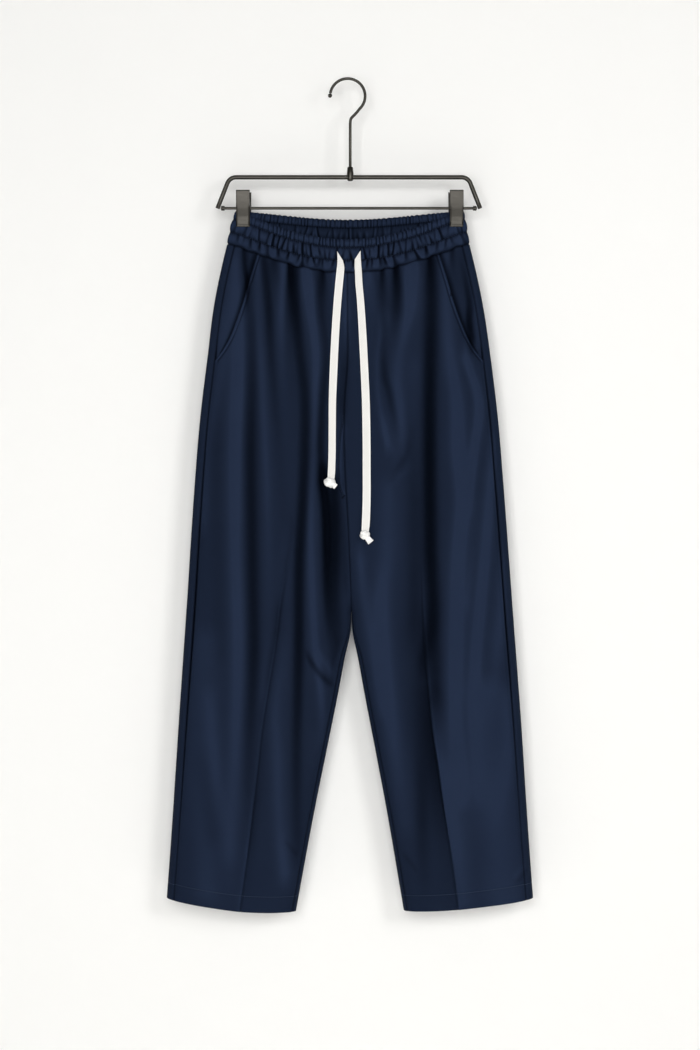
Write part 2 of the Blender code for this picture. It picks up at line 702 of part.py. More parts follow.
def hook_route():
    """From the ball over the top and down the right, then in to the stem and down to the ferrule."""
    drop = HOOK_RADIUS - WIRE_RADIUS
    arc = np.radians(np.linspace(*HOOK_ARC, HOOK_STEPS))
    route = [(HOOK_X + HOOK_RADIUS * math.cos(a), 0, drop - HOOK_RADIUS * math.sin(a)) for a in arc]
    route += [(STEM_X + out, 0, STEM_TOP_DROP + below) for out, below in STEM_BEND]
    route.append((STEM_X, 0, FERRULE_TOP - SEAM))
    return route


def bar_route():
    """The hanger's bar: up one slanted end, round a bend, across, and down the other end."""
    slant = math.radians(BAR_SLANT)
    turn = PI / 2 - slant
    rise = BAR_END_DROP - BAR_DROP - BAR_BEND * (1 - math.cos(turn))
    bend_x = BAR_HALF - rise * math.tan(slant)
    middle_x = bend_x - BAR_BEND * math.sin(turn)
    half = [(BAR_HALF, BAR_END_DROP)]
    for step in range(7):
        angle = turn * (1 - step / 6)
        half.append((middle_x + BAR_BEND * math.sin(angle), BAR_DROP + BAR_BEND * (1 - math.cos(angle))))
    left = [(HANGER_X - x, 0, drop) for x, drop in half]
    right = [(HANGER_X + x, 0, drop) for x, drop in reversed(half)]
    return left + right


def jaw(name, x, back, finish):
    """A clip's formed sheet jaw: a plate with two flanges that reach in past the rod."""
    facing = 1 if back else -1
    wide = CLIP_WIDTH / 2
    inner = wide - CLIP_SHEET
    if back:
        x = x - math.copysign(BACK_JAW_SHIFT, x)
    rings = []
    for drop, out, reach in JAW:
        reach = min(reach, BACK_FLANGE) if back else reach
        face, sheet_in, tip = out, out - CLIP_SHEET, out - max(reach, CLIP_SHEET + 0.05)
        outline = ((-wide, face), (wide, face), (wide, tip), (inner, tip))
        outline += ((inner, sheet_in), (-inner, sheet_in), (-inner, tip), (-wide, tip))
        rings.append([(x + a, facing * b, drop) for a, b in outline])
    return loft(name, rings, finish)


def clip(label, x, finish):
    """A spring clip on the rod: two jaws and the spring between them, each with a hole for the rod."""
    hole = cylinder_along_x(f"clip_hole_{label}", ROD_RADIUS + SEAM, 2 * CLIP_WIDTH, x, ROD_DROP)
    cut(jaw(f"clip_front_{label}", x, False, finish), hole)
    cut(jaw(f"clip_back_{label}", x, True, finish), hole)
    spring = cylinder_along_x(f"clip_spring_{label}", SPRING_RADIUS, SPRING_LENGTH, x, ROD_DROP)
    adopt(spring, f"clip_spring_{label}", finish)
    cut(spring, hole)


def hanger(metal, dark_metal):
    """The hook, its ferrule, the bent bar, the rod with its collars, and the two clips."""
    tube("hanger_hook", hook_route(), WIRE_RADIUS, metal, 2)
    tip_x, _, tip_drop = hook_route()[0]
    ball("hook_ball", (tip_x - 0.5, 0, tip_drop + HOOK_BALL + 0.5, HOOK_BALL, HOOK_BALL, HOOK_BALL), metal)
    ferrule = turned("hanger_ferrule", FERRULE, STEM_X, FERRULE_TOP, metal)
    cut(ferrule, cylinder_along_x("ferrule_hole", BAR_RADIUS + SEAM, 20, STEM_X, BAR_DROP))
    tube("hanger_bar", bar_route(), BAR_RADIUS, metal, 3)
    slant = math.radians(BAR_SLANT)
    lean = (BAR_END_DROP - ROD_DROP + ROD_RADIUS) * math.tan(slant)
    reach = BAR_HALF - BAR_RADIUS / math.cos(slant) - lean - SEAM
    adopt(cylinder_along_x("hanger_rod", ROD_RADIUS, 2 * reach, HANGER_X, ROD_DROP), "hanger_rod", metal)
    for side, label, clip_x in ((-1, "left", CLIP_X[0]), (1, "right", CLIP_X[1])):
        x = HANGER_X + side * (reach - COLLAR_INSET)
        collar = cylinder_along_x(f"rod_collar_{label}", COLLAR_RADIUS, COLLAR_LENGTH, x, ROD_DROP)
        adopt(collar, f"rod_collar_{label}", metal)
        cut(collar, cylinder_along_x(f"collar_hole_{label}", ROD_RADIUS + SEAM, 2 * COLLAR_LENGTH, x, ROD_DROP))
        clip(label, clip_x, dark_metal)


# ---------------------------------------------------------------- the whole object


def main():
    for obj in list(bpy.data.objects):
        bpy.data.objects.remove(obj)
    collection = bpy.data.collections.new("drawstring_trousers")
    bpy.context.scene.collection.children.link(collection)
    navy = material("navy_cloth", (0.016, 0.023, 0.043))
    navy_inside = material("navy_cloth_inside", (0.013, 0.018, 0.034))
    cotton = material("cotton_tape", (0.90, 0.88, 0.84))
    metal = material("gunmetal", (0.10, 0.094, 0.085), 0.4, 0.9)
    dark_metal = material("dark_gunmetal", (0.09, 0.085, 0.075), 0.5, 0.8)
    for side, label in ((-1, "left"), (1, "right")):
        front_panel(side, f"front_{label}", navy)
        back_panel(side, f"back_{label}", navy)
        pocket_bearer(side, f"pocket_bearer_{label}", navy)
        hem_facing(side, f"hem_{label}", navy_inside)
    waistband(False, "waistband_front", navy)
    waistband(True, "waistband_back", navy)
    tape("drawstring_left", LEFT_TAPE, cotton)
    tape("drawstring_right", RIGHT_TAPE, cotton)
    tape("drawstring_tail", RIGHT_TAIL, cotton)
    ball("knot_left", LEFT_KNOT, cotton)
    ball("knot_right", RIGHT_KNOT, cotton)
    hanger(metal, dark_metal)


main()
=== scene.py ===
"""The looks of wide-leg drawstring trousers, hung flat from a metal clip hanger. Blender 4.5.

The origin is the inner top of the hook, the front faces -Y and +Z is up. Sizes and tables are in
millimetres, and MM turns them into metres. "Drop" is a distance below the origin. "Turn" goes round
one half of the trousers: 0 is its outer fold, pi its inner edge, with the front between them, and pi
to 2 pi is its back. "Side" is -1 for the half on the left of the picture and 1 for the other. Grids
hold x, y and drop; their rows run down and their columns left to right as seen from outside.
"""

import math

import bpy  # noqa: E402
import numpy as np  # noqa: E402
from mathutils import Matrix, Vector  # noqa: E402


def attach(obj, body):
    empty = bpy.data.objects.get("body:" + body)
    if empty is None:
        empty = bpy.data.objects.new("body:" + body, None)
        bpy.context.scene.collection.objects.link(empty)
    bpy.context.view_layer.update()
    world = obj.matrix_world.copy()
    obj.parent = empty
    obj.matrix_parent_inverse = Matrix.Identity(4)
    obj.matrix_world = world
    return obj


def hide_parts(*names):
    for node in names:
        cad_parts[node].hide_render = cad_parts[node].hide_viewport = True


MM = 0.001
PI = math.pi
UP = (1, 1, -1)  # turns x, y and drop into x, y and height, and back

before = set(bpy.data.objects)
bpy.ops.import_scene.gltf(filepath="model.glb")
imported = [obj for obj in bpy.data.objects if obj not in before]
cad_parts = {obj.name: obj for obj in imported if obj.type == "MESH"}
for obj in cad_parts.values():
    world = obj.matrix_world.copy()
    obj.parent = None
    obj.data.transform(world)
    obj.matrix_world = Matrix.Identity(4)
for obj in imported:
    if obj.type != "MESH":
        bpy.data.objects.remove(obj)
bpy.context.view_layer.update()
scene = bpy.context.scene


def add_object(name, data):
    obj = bpy.data.objects.new(name, data)
    scene.collection.objects.link(obj)
    return obj


# ---------------------------------------------------------------- camera

VIEW_DISTANCE = 3.0
VIEW_HEIGHT = 1.47  # height of the picture at the trousers
VIEW_X, VIEW_Z = 0.0021, -0.623
SENSOR = 36.0

camera = add_object("camera", bpy.data.cameras.new("camera"))
camera.data.sensor_width = SENSOR
camera.data.lens = SENSOR * VIEW_DISTANCE / VIEW_HEIGHT
camera.location = (VIEW_X, -VIEW_DISTANCE, VIEW_Z)
camera.rotation_euler = (PI / 2, 0, 0)
scene.camera = camera

# ---------------------------------------------------------------- shape of the trousers

SEAM = 0.3  # gap between neighbouring pieces
CLOTH = 1.1  # wall of a single layer
BAND_WALL = 1.6

# Silhouette of the trousers: drop, left edge, right edge.
OUTLINE = (
    (183, -158, 161), (206, -164, 164.5), (230, -170, 169.5), (266, -178.5, 178), (308, -187, 187),
    (392, -198, 199.5), (476, -208, 209.5), (560, -215, 216.5), (728, -226, 229),
    (896, -237.5, 241.5), (1064, -248.5, 252.5), (1166, -256, 260),
)
# Line between the halves, the rise seam and then the middle of the gap: drop, x.
MIDDLE = (
    (183, -1.5), (270, -1.6), (340, -1.2), (396, -1.4), (455, -5.6), (489, -6.2), (532, -5.4),
    (567, -3.8), (602, -1.6), (660, 1.2), (738, 4), (812, 4), (1166, 2),
)
# Gap between the legs: drop, half of its width.
LEG_GAP = ((738, 0), (770, 1.2), (812, 9.8), (854, 17.5), (938, 34), (1022, 50.4), (1166, 76))
# How far the cloth stands from the middle plane: drop, front, back.
DEPTH = ((183, 26, 19), (270, 27, 20), (450, 28, 23), (738, 25, 22), (950, 24, 22), (1166, 29, 27))
# Pressed creases, as a share of the way from outer fold to inner edge: drop, left leg, right leg.
CREASE = (
    (230, 0.62, 0.6), (540, 0.727, 0.545), (640, 0.654, 0.547), (686, 0.609, 0.549),
    (742, 0.567, 0.553), (773, 0.558, 0.555), (812, 0.558, 0.571), (854, 0.552, 0.581),
    (910, 0.548, 0.593), (959, 0.555, 0.592), (1008, 0.562, 0.589), (1064, 0.568, 0.582),
    (1106, 0.568, 0.578), (1166, 0.565, 0.575),
)
# Hem: share of the way across, drop on the left leg, drop on the right leg.
HEM = ((0, 1144, 1144), (0.3, 1153.5, 1151.5), (0.56, 1160, 1157), (1, 1162.5, 1161.5))
# Pocket opening: drop, inset from the silhouette.
POCKET = ((240, 46.5), (283, 43.5), (313, 41), (340, 35.5), (362, 29), (380, 20.5), (394, 11.2))

SAG_FRONT, SAG_BACK = 43, 10  # of the band's top edge between the clips
SAG_POWER = 1.2
BAND_TOP = 183.4
BAND_HEIGHT = 46
STITCH_ROWS = (0.25, 0.64)  # the band's stitch lines, as shares of its height
PUFFS = (1.0, 2.0, 1.0)  # how far its three rows stand out between them
CLAMPED_HALF = 3.0  # half of what the clips squeeze the cloth to
CLIP_REACH = 27
PINCH_END = 315  # drop where the clips no longer pinch
RISE_START, CROTCH, LEGS_APART = 520, 738, 800
LEG_SQUARENESS = 0.12
SIDE_ROLL, SIDE_SHARE = 11, 0.06  # the back's roll round to the side seam
INSEAM_ROLL, INSEAM_ROLL_RISE = 5, 80
CREASE_HEIGHT, CREASE_WIDTH = 3.5, 12  # ridge of the back's pressed crease
CREASE_RISE = (500, 760)
FLAT_EDGES = (16, 14)  # folds die out this close to the outer and inner edge
FOLD_FADE = 0.3  # share of a fold's length over which each end fades
LINE_FADE = 30
LINE_STEP = 2.2
FRONT_DRIFT, BACK_DRIFT = 0.2, 0.3
HEM_DEPTH = 22
POCKET_TIP_LEVEL = 431.8
POCKET_SINK = 2.6

# Folds of the front: name, side (-1 or 1 where only that side of the line is raised or sunk, as beside
# a pressed crease), half width, and stations down its line as drop, x and height (hollows below 0).
# Their heights, and those of the pulls and of the back's folds, also set the painted shade and highlight.
FRONT_LINES = (
    ("left hip crest", 0, 11.2, ((255, -157.5, 0.9), (378, -153.3, 1.5), (518, -157.5, 1.6),
        (658, -157.5, 1.3), (798, -153.3, 1.3), (938, -157.5, 1), (1078, -163.1, 0.6))),
    ("left hip hollow", 0, 9.8, ((336, -177.1, 0.3), (518, -185.5, -0.4), (658, -182.7, -0.2),
        (798, -178.5, -0.3))),
    ("left long hollow", 0, 8.4, ((246, -139.3, -0.8), (378, -135.1, -1.2), (518, -136.5, -2.3),
        (658, -134.4, -2.3), (798, -132.3, -2.2), (938, -137.9, -0.8), (1092, -137.9, 0.1))),
    ("left first crest", 0, 7, ((308, -129.5, 0.5), (378, -123.9, 0.8), (518, -115.5, 0.9),
        (658, -111.3, 0.5), (756, -111.3, 0.1), (854, -121.1, 0.4))),
    ("left first hollow", 0, 5.6, ((255, -118.3, -1.8), (322, -111.3, -2.1), (378, -108.5, -1.2),
        (448, -102.9, -0.6), (518, -95.9, -0.2), (616, -90.3, -0.2))),
    ("left second crest", 0, 7, ((249, -90.3, 1.3), (322, -93.1, 1.3), (378, -93.1, 0.7),
        (448, -88.9, 0.2), (518, -86.1, 0), (616, -81.9, -0.2))),
    ("left strong hollow", 0, 7, ((255, -76.3, -2.5), (322, -73.5, -2.8), (378, -67.9, -2.1),
        (448, -60.9, -2.2), (518, -60.9, -2.6), (588, -63.7, -2.9), (658, -67.9, -3.2),
        (798, -69.3, -3), (952, -72.1, -1.5), (1078, -70.7, -0.6))),
    ("left third crest", 0, 6.3, ((259, -58.1, 1.1), (322, -52.5, 1.6), (378, -45.5, 1.5),
        (448, -46.9, 1), (518, -49.7, 0.6), (588, -52.5, 0.9), (728, -49.7, 1.2), (798, -45.5, 1.2),
        (854, -38.5, 1.2), (910, -35.7, 0.5))),
    ("left tape hollow", 0, 4.9, ((259, -41.3, -1.1), (322, -38.5, -0.9), (378, -31.5, -0.9),
        (448, -35.7, -1.8), (518, -38.5, -2.3), (560, -35.7, -2.2))),
    ("left knot hollow", 0, 6.3, ((560, -35.7, -4.2), (602, -31.5, -5.1), (658, -30.1, -4.4),
        (728, -28.7, -2.2), (784, -24.5, -0.6), (819, -20.3, -0.3))),
    ("left rise hollow", 0, 8.4, ((574, -20.3, -3), (616, -18.9, -3.3), (672, -18.9, -3),
        (728, -18.9, -2), (784, -14.7, -1.2))),
    ("left low crest", 0, 11.2, ((868, -192.5, 0.6), (952, -185.5, 0.8), (1050, -171.5, 0.3),
        (1120, -163.1, 0.3))),
    ("left shin crest", 0, 9.8, ((798, -91.7, 0.3), (868, -101.5, 0.7), (952, -98.7, 0.9),
        (1036, -95.9, 0.8), (1106, -88.9, 1.1))),
    ("left inner shin crest", 0, 9.8, ((924, -42.7, 0.3), (994, -56.7, 0), (1092, -81.9, 0))),
    ("left outer shin hollow", 0, 11.2, ((952, -203.7, -0.3), (1050, -191.1, -0.5))),
    ("left wrinkle", 0, 3.5, ((767, -20.3, -0.1), (791, -16.1, -0.5), (818, -21.7, -0.6))),
    ("left upper edge crest", 0, 8.4, ((294, -167.3, 0.2), (350, -171.5, 0.4), (406, -177.1, 0.5),
        (490, -193.9, 0.5), (616, -203.7, 0.6))),
    ("left crease rise", 0, 2.8, ((630, -79.1, -0.4), (686, -87.5, -0.6), (728, -93.8, -0.5),
        (773, -100.1, -0.6))),
    ("left crease light", -1, 5.6, ((742, -97.3, -0.8), (773, -99.4, -0.9), (812, -105.7, -0.9),
        (854, -112.7, -0.4), (910, -121.8, 0.1), (959, -126.7, 0.1), (1008, -132.3, 0.4),
        (1064, -138.6, 0.5), (1106, -144.2, 0.4), (1155, -151.9, 0.3))),
    ("left crease shade", 1, 9.8, ((742, -97.3, -0.5), (773, -99.4, -0.4), (812, -105.7, -0.5),
        (854, -112.7, -0.5), (910, -121.8, -0.4), (959, -126.7, -0.5), (1008, -132.3, -0.8),
        (1064, -138.6, -0.6), (1106, -144.2, -0.4), (1155, -151.9, -0.1))),
    ("rise crest", 0, 5.6, ((273, -3.5, 1.1), (336, -3.5, 1.2), (406, -4.9, -0.9),
        (462, -7.7, -0.9))),
    ("fly knuckle", 0, 4.2, ((445, -13.3, -0.4), (469, -10.5, 0), (490, -4.9, 0.3))),
    ("fly lower crest", 0, 5.6, ((504, -14.7, 0.2), (546, -13.3, 0.3), (588, -9.1, -0.1),
        (644, -4.9, -1), (700, -0.7, -1.9))),
    ("right waist hollow", 0, 5.6, ((249, 35.7, 0.1), (294, 36.4, 0.2), (336, 34.3, 0.1),
        (378, 32.2, 0.1))),
    ("right small light", 0, 2.8, ((283, 38.5, -0.4), (294, 39.2, -0.2), (315, 39.9, -0.2))),
    ("right waist crest", 0, 5.6, ((255, 52.5, 0.1), (294, 52.5, 0.1), (315, 52.5, 0.1),
        (336, 55.3, 0.5))),
    ("right flank crest", 0, 4.2, ((322, 41.3, 0.4), (357, 44.1, 0.8), (378, 41.3, 0.6),
        (420, 39.9, 0.6), (462, 44.1, 0.8), (504, 52.5, 0.8))),
    ("right tuck hollow", 0, 5.6, ((255, 66.5, -1.1), (294, 69.3, -1.3), (322, 67.9, -0.9),
        (343, 65.1, -0.2), (364, 59.5, 0.1))),
    ("right tuck crest", 0, 8.4, ((245, 84.7, 1), (280, 84.7, 1.5), (322, 84.7, 1.3),
        (357, 76.3, 1.1), (378, 72.1, 0.9), (420, 69.3, 0.9), (462, 72.1, 0.9), (504, 73.5, 0.7))),
    ("right long hollow", 0, 9.1, ((245, 116.9, -1.7), (322, 115.5, -2.4), (378, 114.1, -3.2),
        (518, 112.7, -4), (658, 114.1, -3.7), (756, 115.5, -2.8), (812, 105.7, -1.9))),
    ("right shoulder hollow", 0, 11.2, ((406, 91.7, 0.3), (490, 88.9, -0.4), (588, 91.7, -1),
        (728, 91.7, -1.1), (812, 88.9, -0.1))),
    ("right crease dark", -1, 22.4, ((756, 105.7, -0.8), (812, 108.5, -0.9), (854, 112, -2),
        (902, 116.2, -2.6), (952, 123.9, -2.5), (1012, 132.3, -1.6), (1064, 140.7, -0.8),
        (1099, 146.3, -0.5), (1148, 152.6, -0.3))),
    ("right crease light", 1, 4.9, ((784, 107.8, 0.2), (812, 108.5, 0), (854, 112, -0.1),
        (902, 116.2, 0.1), (952, 123.9, 0), (1012, 132.3, -0.3), (1064, 140.7, -0.3),
        (1099, 146.3, -0.3), (1148, 152.6, -0.2))),
    ("right crease face", 1, 22.4, ((868, 113.4, -0.5), (902, 116.2, 0.1), (952, 123.9, 1.1),
        (1012, 132.3, 1.5), (1064, 140.7, 1.4), (1099, 146.3, 1.1), (1148, 152.6, 0.9))),
    ("right beyond crease", 0, 8.4, ((742, 121.5, -0.6), (784, 119.5, -1.7), (812, 120.5, -1.8),
        (854, 121.5, -1.6), (886, 124, -0.4))),
    ("right inner face hollow", 0, 9, ((938, 98, -0.3), (980, 101.5, -0.9), (1036, 102, -1.1),
        (1092, 104, -0.6), (1130, 106, -0.2))),
    ("right hip crest", 0, 11.2, ((249, 136.5, 0.8), (322, 137.9, 1.1), (378, 140.7, 1.2),
        (448, 150.5, 1.5), (518, 153.3, 2), (588, 158.9, 1.8), (658, 153.3, 1.8), (798, 149.1, 1.7),
        (896, 147.7, 1.3), (994, 158.9, 1.1))),
    ("right pocket crest", 0, 7, ((392, 164.5, 1.5), (448, 181.3, 1.7), (518, 175.7, 1.7),
        (588, 167.3, 1))),
    ("right pocket hollow", 0, 4.9, ((413, 191.1, 0), (448, 198.1, 0), (518, 188.3, -0.1),
        (588, 178.5, 0), (658, 172.9, 0.2), (728, 165.9, 0.5))),
    ("right outer crest", 0, 8.4, ((504, 203.7, 1.1), (588, 196.7, 1.3), (658, 191.1, 1.4),
        (728, 184.1, 1.6), (812, 177.1, 1.5), (896, 175.7, 0.9), (994, 181.3, 0.4))),
    ("right shin plane", 0, 30.8, ((854, 192.5, 0.8), (924, 195.3, 0.8), (994, 198.1, 1.1),
        (1078, 207.9, 0.9), (1148, 212.1, 0.9))),
    ("left shin plane", 0, 19.6, ((784, -198.1, 0.6), (868, -199.5, 0.4), (952, -200.9, 0.5),
        (1036, -199.5, 0.7), (1134, -196.7, 0.8))),
    ("right swag hollow", 0, 4.5, ((329, 49.7, 0), (378, 49, -0.5), (399, 49, -1.1),
        (420, 51.1, -1.5), (441, 56.7, -1.2), (462, 60.9, -0.8), (483, 65.1, -0.4),
        (504, 69.3, -0.1))),
    ("right swag tab", 0, 5.6, ((392, 63.7, 0.2), (420, 63, 0.3), (441, 67.9, 0.3),
        (462, 70.7, 0.2), (483, 74.9, 0.2), (504, 77.7, 0))),
    ("right swag floor", 0, 4.9, ((462, 91.7, 0.1), (483, 88.9, 0), (504, 84.7, -0.3),
        (525, 80.5, -0.6), (539, 72.1, -0.6), (553, 62.3, -0.2))),
    ("right swag pool", 0, 7, ((490, 51.1, 0.6), (511, 56.7, 0.7), (529, 63.7, 0.2))),
    ("right below swag", 0, 7, ((546, 83.3, 0.3), (567, 60.9, 0.3), (588, 58.1, 0.2))),
    ("right inner crest", 0, 14, ((574, 52.5, 0.5), (658, 53.9, 0.9), (728, 45.5, 1.4),
        (798, 48.3, 1.5), (868, 55.3, 1.4), (952, 66.5, 0.8), (1036, 77.7, 0.4))),
    ("right rise crest", 0, 8.4, ((672, 16.1, 1), (728, 21.7, 0.7), (798, 32.9, 0.6),
        (868, 44.1, 0.5))),
    ("right outer shin hollow", 0, 11.2, ((672, 220.5, 1.2), (784, 209.3, 0.9), (868, 200.9, 0.1))),
    ("right outer shin crest", 0, 11.2, ((868, 221.9, 0.6), (952, 221.9, 0.7), (1050, 203.7, 0),
        (1120, 195.3, 0.1))),
    ("left pocket hollow", 0, 2.4, ((244, -145.6, -0.6), (266, -144.2, -1.6), (286, -141, -3.2),
        (298, -140.7, -1.6))),
    ("left pocket crest", 0, 3.0, ((245, -137.2, 0.6), (269, -137.9, 0.5))),
    ("right pocket shade", 0, 4.5, ((255, 158.9, -0.5), (288, 165.2, -1.4), (312, 168.7, -2.0),
        (343, 168.7, -3.4), (361, 171.5, -3.0))),
    ("right pocket side crest", 0, 4.5, ((266, 171.5, 0.5), (308, 178.5, 0.7), (350, 181.3, 0.5))),
)
# Short pulls of the front that run across: name, x and drop of both ends, bow, half width, height.
FRONT_PULLS = (
    ("left shin tuck", -62, 792, -12, 853, -7, 3.6, -1.7),
    ("left shin tuck crest", -46, 790, -10, 838, -4, 6, 0.7),
    ("right hem pull", 230, 1124, 254, 1098, 0, 2.6, -0.6),
    ("right hem pull crest", 225, 1117, 250, 1092, 0, 2.6, 0.4),
    ("left inner hem pull", -68, 1088, -90, 1058, 0, 3, -0.5),
    ("right inner hem pull", 72, 1076, 98, 1108, 0, 3, -0.5),
)
# Folds and pulls of the back, in the same columns.
BACK_FOLDS = (
    ("left outer valley", -134, 340, -140, 840, 0, 15, -2.5),
    ("left middle ridge", -96, 300, -100, 760, 0, 16, 1.9),
    ("left inner valley", -30, 540, -36, 860, 0, 12, -4.3),
    ("right outer valley", 132, 330, 140, 880, 0, 16, -2.8),
    ("right middle ridge", 92, 300, 98, 700, 0, 16, 1.9),
    ("right inner valley", 34, 560, 42, 850, 0, 12, -3.7),
    ("left tuck 1", -110, 236, -112, 320, 0, 6, -1.6),
    ("left tuck 2", -52, 246, -54, 350, 0, 6, -1.6),
    ("right tuck 1", 50, 246, 50, 350, 0, 6, -1.6),
    ("right tuck 2", 112, 236, 114, 320, 0, 6, -1.6),
    ("left seat pull", -20, 470, -110, 640, 14, 10, -1.1),
    ("right seat pull", 18, 480, 104, 650, -14, 10, -1.1),
    ("left seat crest", -14, 520, -84, 690, 12, 8, 0.8),
    ("right seat crest", 14, 530, 84, 700, -12, 8, 0.8),
    ("left yoke pucker", -82, 240, -86, 330, 0, 6, 0.9),
    ("right yoke pucker", 80, 240, 84, 340, 0, 6, 0.9),
    ("left hip wave", -172, 330, -182, 620, 0, 9, -0.9),
    ("right hip wave", 170, 340, 184, 640, 0, 9, -0.9),
    ("left knee wave", -150, 820, -120, 980, 6, 10, -1.0),
    ("left knee ridge", -176, 780, -190, 1020, 0, 12, 0.9),
    ("right knee wave", 150, 800, 118, 990, -6, 10, -1.0),
    ("right knee ridge", 184, 790, 196, 1040, 0, 12, 0.9),
    ("left calf wave", -88, 940, -104, 1120, 0, 11, -0.9),
    ("right calf wave", 92, 930, 110, 1110, 0, 11, -0.9),
    ("left tuck 3", -26, 248, -24, 300, 0, 5, -0.9),
    ("right tuck 3", 78, 244, 76, 310, 0, 5, -0.9),
    ("left tuck 4", -140, 232, -142, 290, 0, 5, -0.9),
    ("right tuck 4", 140, 232, 142, 300, 0, 5, -0.9),
)


def ease(t):
    """Rises smoothly from 0 at t = 0 to 1 at t = 1."""
    t = np.clip(t, 0.0, 1.0)
    return t * t * (3 - 2 * t)


def ramp(value, start, end):
    """Rises smoothly from 0 where the value is start to 1 where it is end."""
    return ease((value - start) / (end - start))


def bump(distance, width):
    """A soft bump, 1 at no distance and gone at about twice the width."""
    return np.exp(-((distance / width) ** 2))


def stacked(*parts):
    """Coordinates of any matching shapes as one array of points."""
    return np.stack(np.broadcast_arrays(*parts), axis=-1)


def lengths(points):
    """Length along a line of points, or along each row of a grid, from its first point."""
    step = np.linalg.norm(np.diff(points, axis=-2), axis=-1)
    return np.concatenate([np.zeros((*step.shape[:-1], 1)), np.cumsum(step, axis=-1)], axis=-1)


def smooth(at, rows, column=1):
    """A table's column at the given places of its first column, along a cubic curve."""
    table = np.array([row[: column + 1] for row in rows], float)
    xs, ys = table[:, 0], table[:, column]
    slopes = np.gradient(ys, xs)
    at = np.clip(at, xs[0], xs[-1])
    i = np.clip(np.searchsorted(xs, at) - 1, 0, len(xs) - 2)
    step = xs[i + 1] - xs[i]
    t = (at - xs[i]) / step
    start = (1 + 2 * t) * (1 - t) ** 2 * ys[i] + t * (1 - t) ** 2 * step * slopes[i]
    return start + t**2 * (3 - 2 * t) * ys[i + 1] + t**2 * (t - 1) * step * slopes[i + 1]


def for_side(side, at, rows):
    """The same from a table whose second column is for the left half and the third for the right."""
    return smooth(at, rows, 1 if side < 0 else 2)


def middle_line(side, drop):
    return smooth(drop, MIDDLE) + side * smooth(drop, LEG_GAP)


def edges(side, drop):
    """The x of the outer and inner edge of one half."""
    return for_side(side, drop, OUTLINE), middle_line(side, drop)


def half_width(side, drop):
    outer, inner = edges(side, drop)
    return np.abs(inner - outer)


def share_of(turn):
    """How far across its half a turn lies, 0 at the outer fold and 1 at the inner edge."""
    return np.sin(turn / 2) ** 2


def turn_of(share):
    return 2 * np.arcsin(np.sqrt(np.clip(share, 0, 1)))


def section(turn, drop, half, depth):
    """Distance of a face from the middle plane: pinched at the clips, rounded hips, closed legs."""
    inset = share_of(turn) * half
    pinched = CLAMPED_HALF * np.sqrt(1 - np.exp(-2 * inset / CLAMPED_HALF))
    pinched = pinched + (depth - CLAMPED_HALF) * ramp(inset, CLIP_REACH, half)
    hips = depth * np.sin(turn / 2) * np.sqrt(1 + np.cos(turn / 2) ** 2)
    leg = depth * (np.sin(turn) + LEG_SQUARENESS * np.sin(3 * turn))
    fall = ramp(drop, BAND_TOP + BAND_HEIGHT / 2, PINCH_END)
    under = np.clip((drop - RISE_START) / (CROTCH - RISE_START), 0, 1)
    inner_weight = share_of(turn) ** (3 + 15 * under**2)
    closed = inner_weight * (1 - np.sqrt(1 - under**2))
    closed = closed + (1 - inner_weight) * ramp(drop, RISE_START, LEGS_APART)
    return (1 - closed) * ((1 - fall) * pinched + fall * hips) + closed * leg


def fold_height(x, drop, folds):
    """Sum of the folds: each a soft ridge or trough along a bowed line, fading out at its ends."""
    total = np.zeros(np.broadcast(x, drop).shape)
    for _, x0, drop0, x1, drop1, bow, half, height in folds:
        along_x, along_drop = x1 - x0, drop1 - drop0
        length = math.hypot(along_x, along_drop)
        t = ((x - x0) * along_x + (drop - drop0) * along_drop) / length**2
        across = ((x - x0) * along_drop - (drop - drop0) * along_x) / length
        fade = ease(t / FOLD_FADE) * ease((1 - t) / FOLD_FADE)
        total = total + height * fade * bump(across - bow * 4 * t * (1 - t), half)
    return total


def line_height(x, drop):
    """Sum of the front's folds: each a soft ridge or hollow across its line, as high as its stations."""
    total = np.zeros(np.broadcast(x, drop).shape)
    for _, side, half, stations in FRONT_LINES:
        drops, _, heights = np.array(stations, float).T
        across = x - smooth(drop, stations)
        ends = np.r_[drops[0] - LINE_FADE, drops, drops[-1] + LINE_FADE]
        height = np.interp(drop, ends, np.r_[0, heights, 0])
        cover = np.clip(0.5 + side * across / LINE_STEP, 0, 1) if side else 1
        total = total + height * cover * bump(across, half)
    return total


def drift(x, drop, seed):
    """Slow unevenness of hung cloth, from -1 to 1: four crossed waves with lengths of 60 to 300 mm."""
    a, b, c, d = (seed * k % 6.28 for k in (1.7, 2.9, 4.3, 5.1))
    total = np.sin(x / 21 + drop / 190 + a) + np.sin(x / 34 - drop / 120 + b)
    return (total + np.sin(x / 13 + drop / 260 + c) + 0.6 * np.sin(x / 50 + drop / 70 + d)) / 3.6


def under_tapes(x, drop, relief, half, face):
    """The relief held back where it would rise through a drawstring end that lies on it."""
    room = section(face, drop, half, smooth(drop, DEPTH))
    for table in (LEFT_TAPE, RIGHT_TAPE):
        beside = np.abs(x - smooth(drop, table)) - TAPE_WIDTH / 2
        beyond = np.maximum(drop - table[-1][0], 0) + np.maximum(table[0][0] - drop, 0)
        most = -smooth(drop, table, 2) - TAPE_THICK / 2 - room
        relief = np.minimum(relief, most + 0.5 * np.maximum(beside, 0) + 0.4 * beyond)
    return relief


def face_of(turn):
    """Whether a turn is on the front, and the turn of the same place mirrored to the front."""
    turn = np.mod(turn, 2 * PI)
    return turn <= PI, np.where(turn <= PI, turn, 2 * PI - turn)


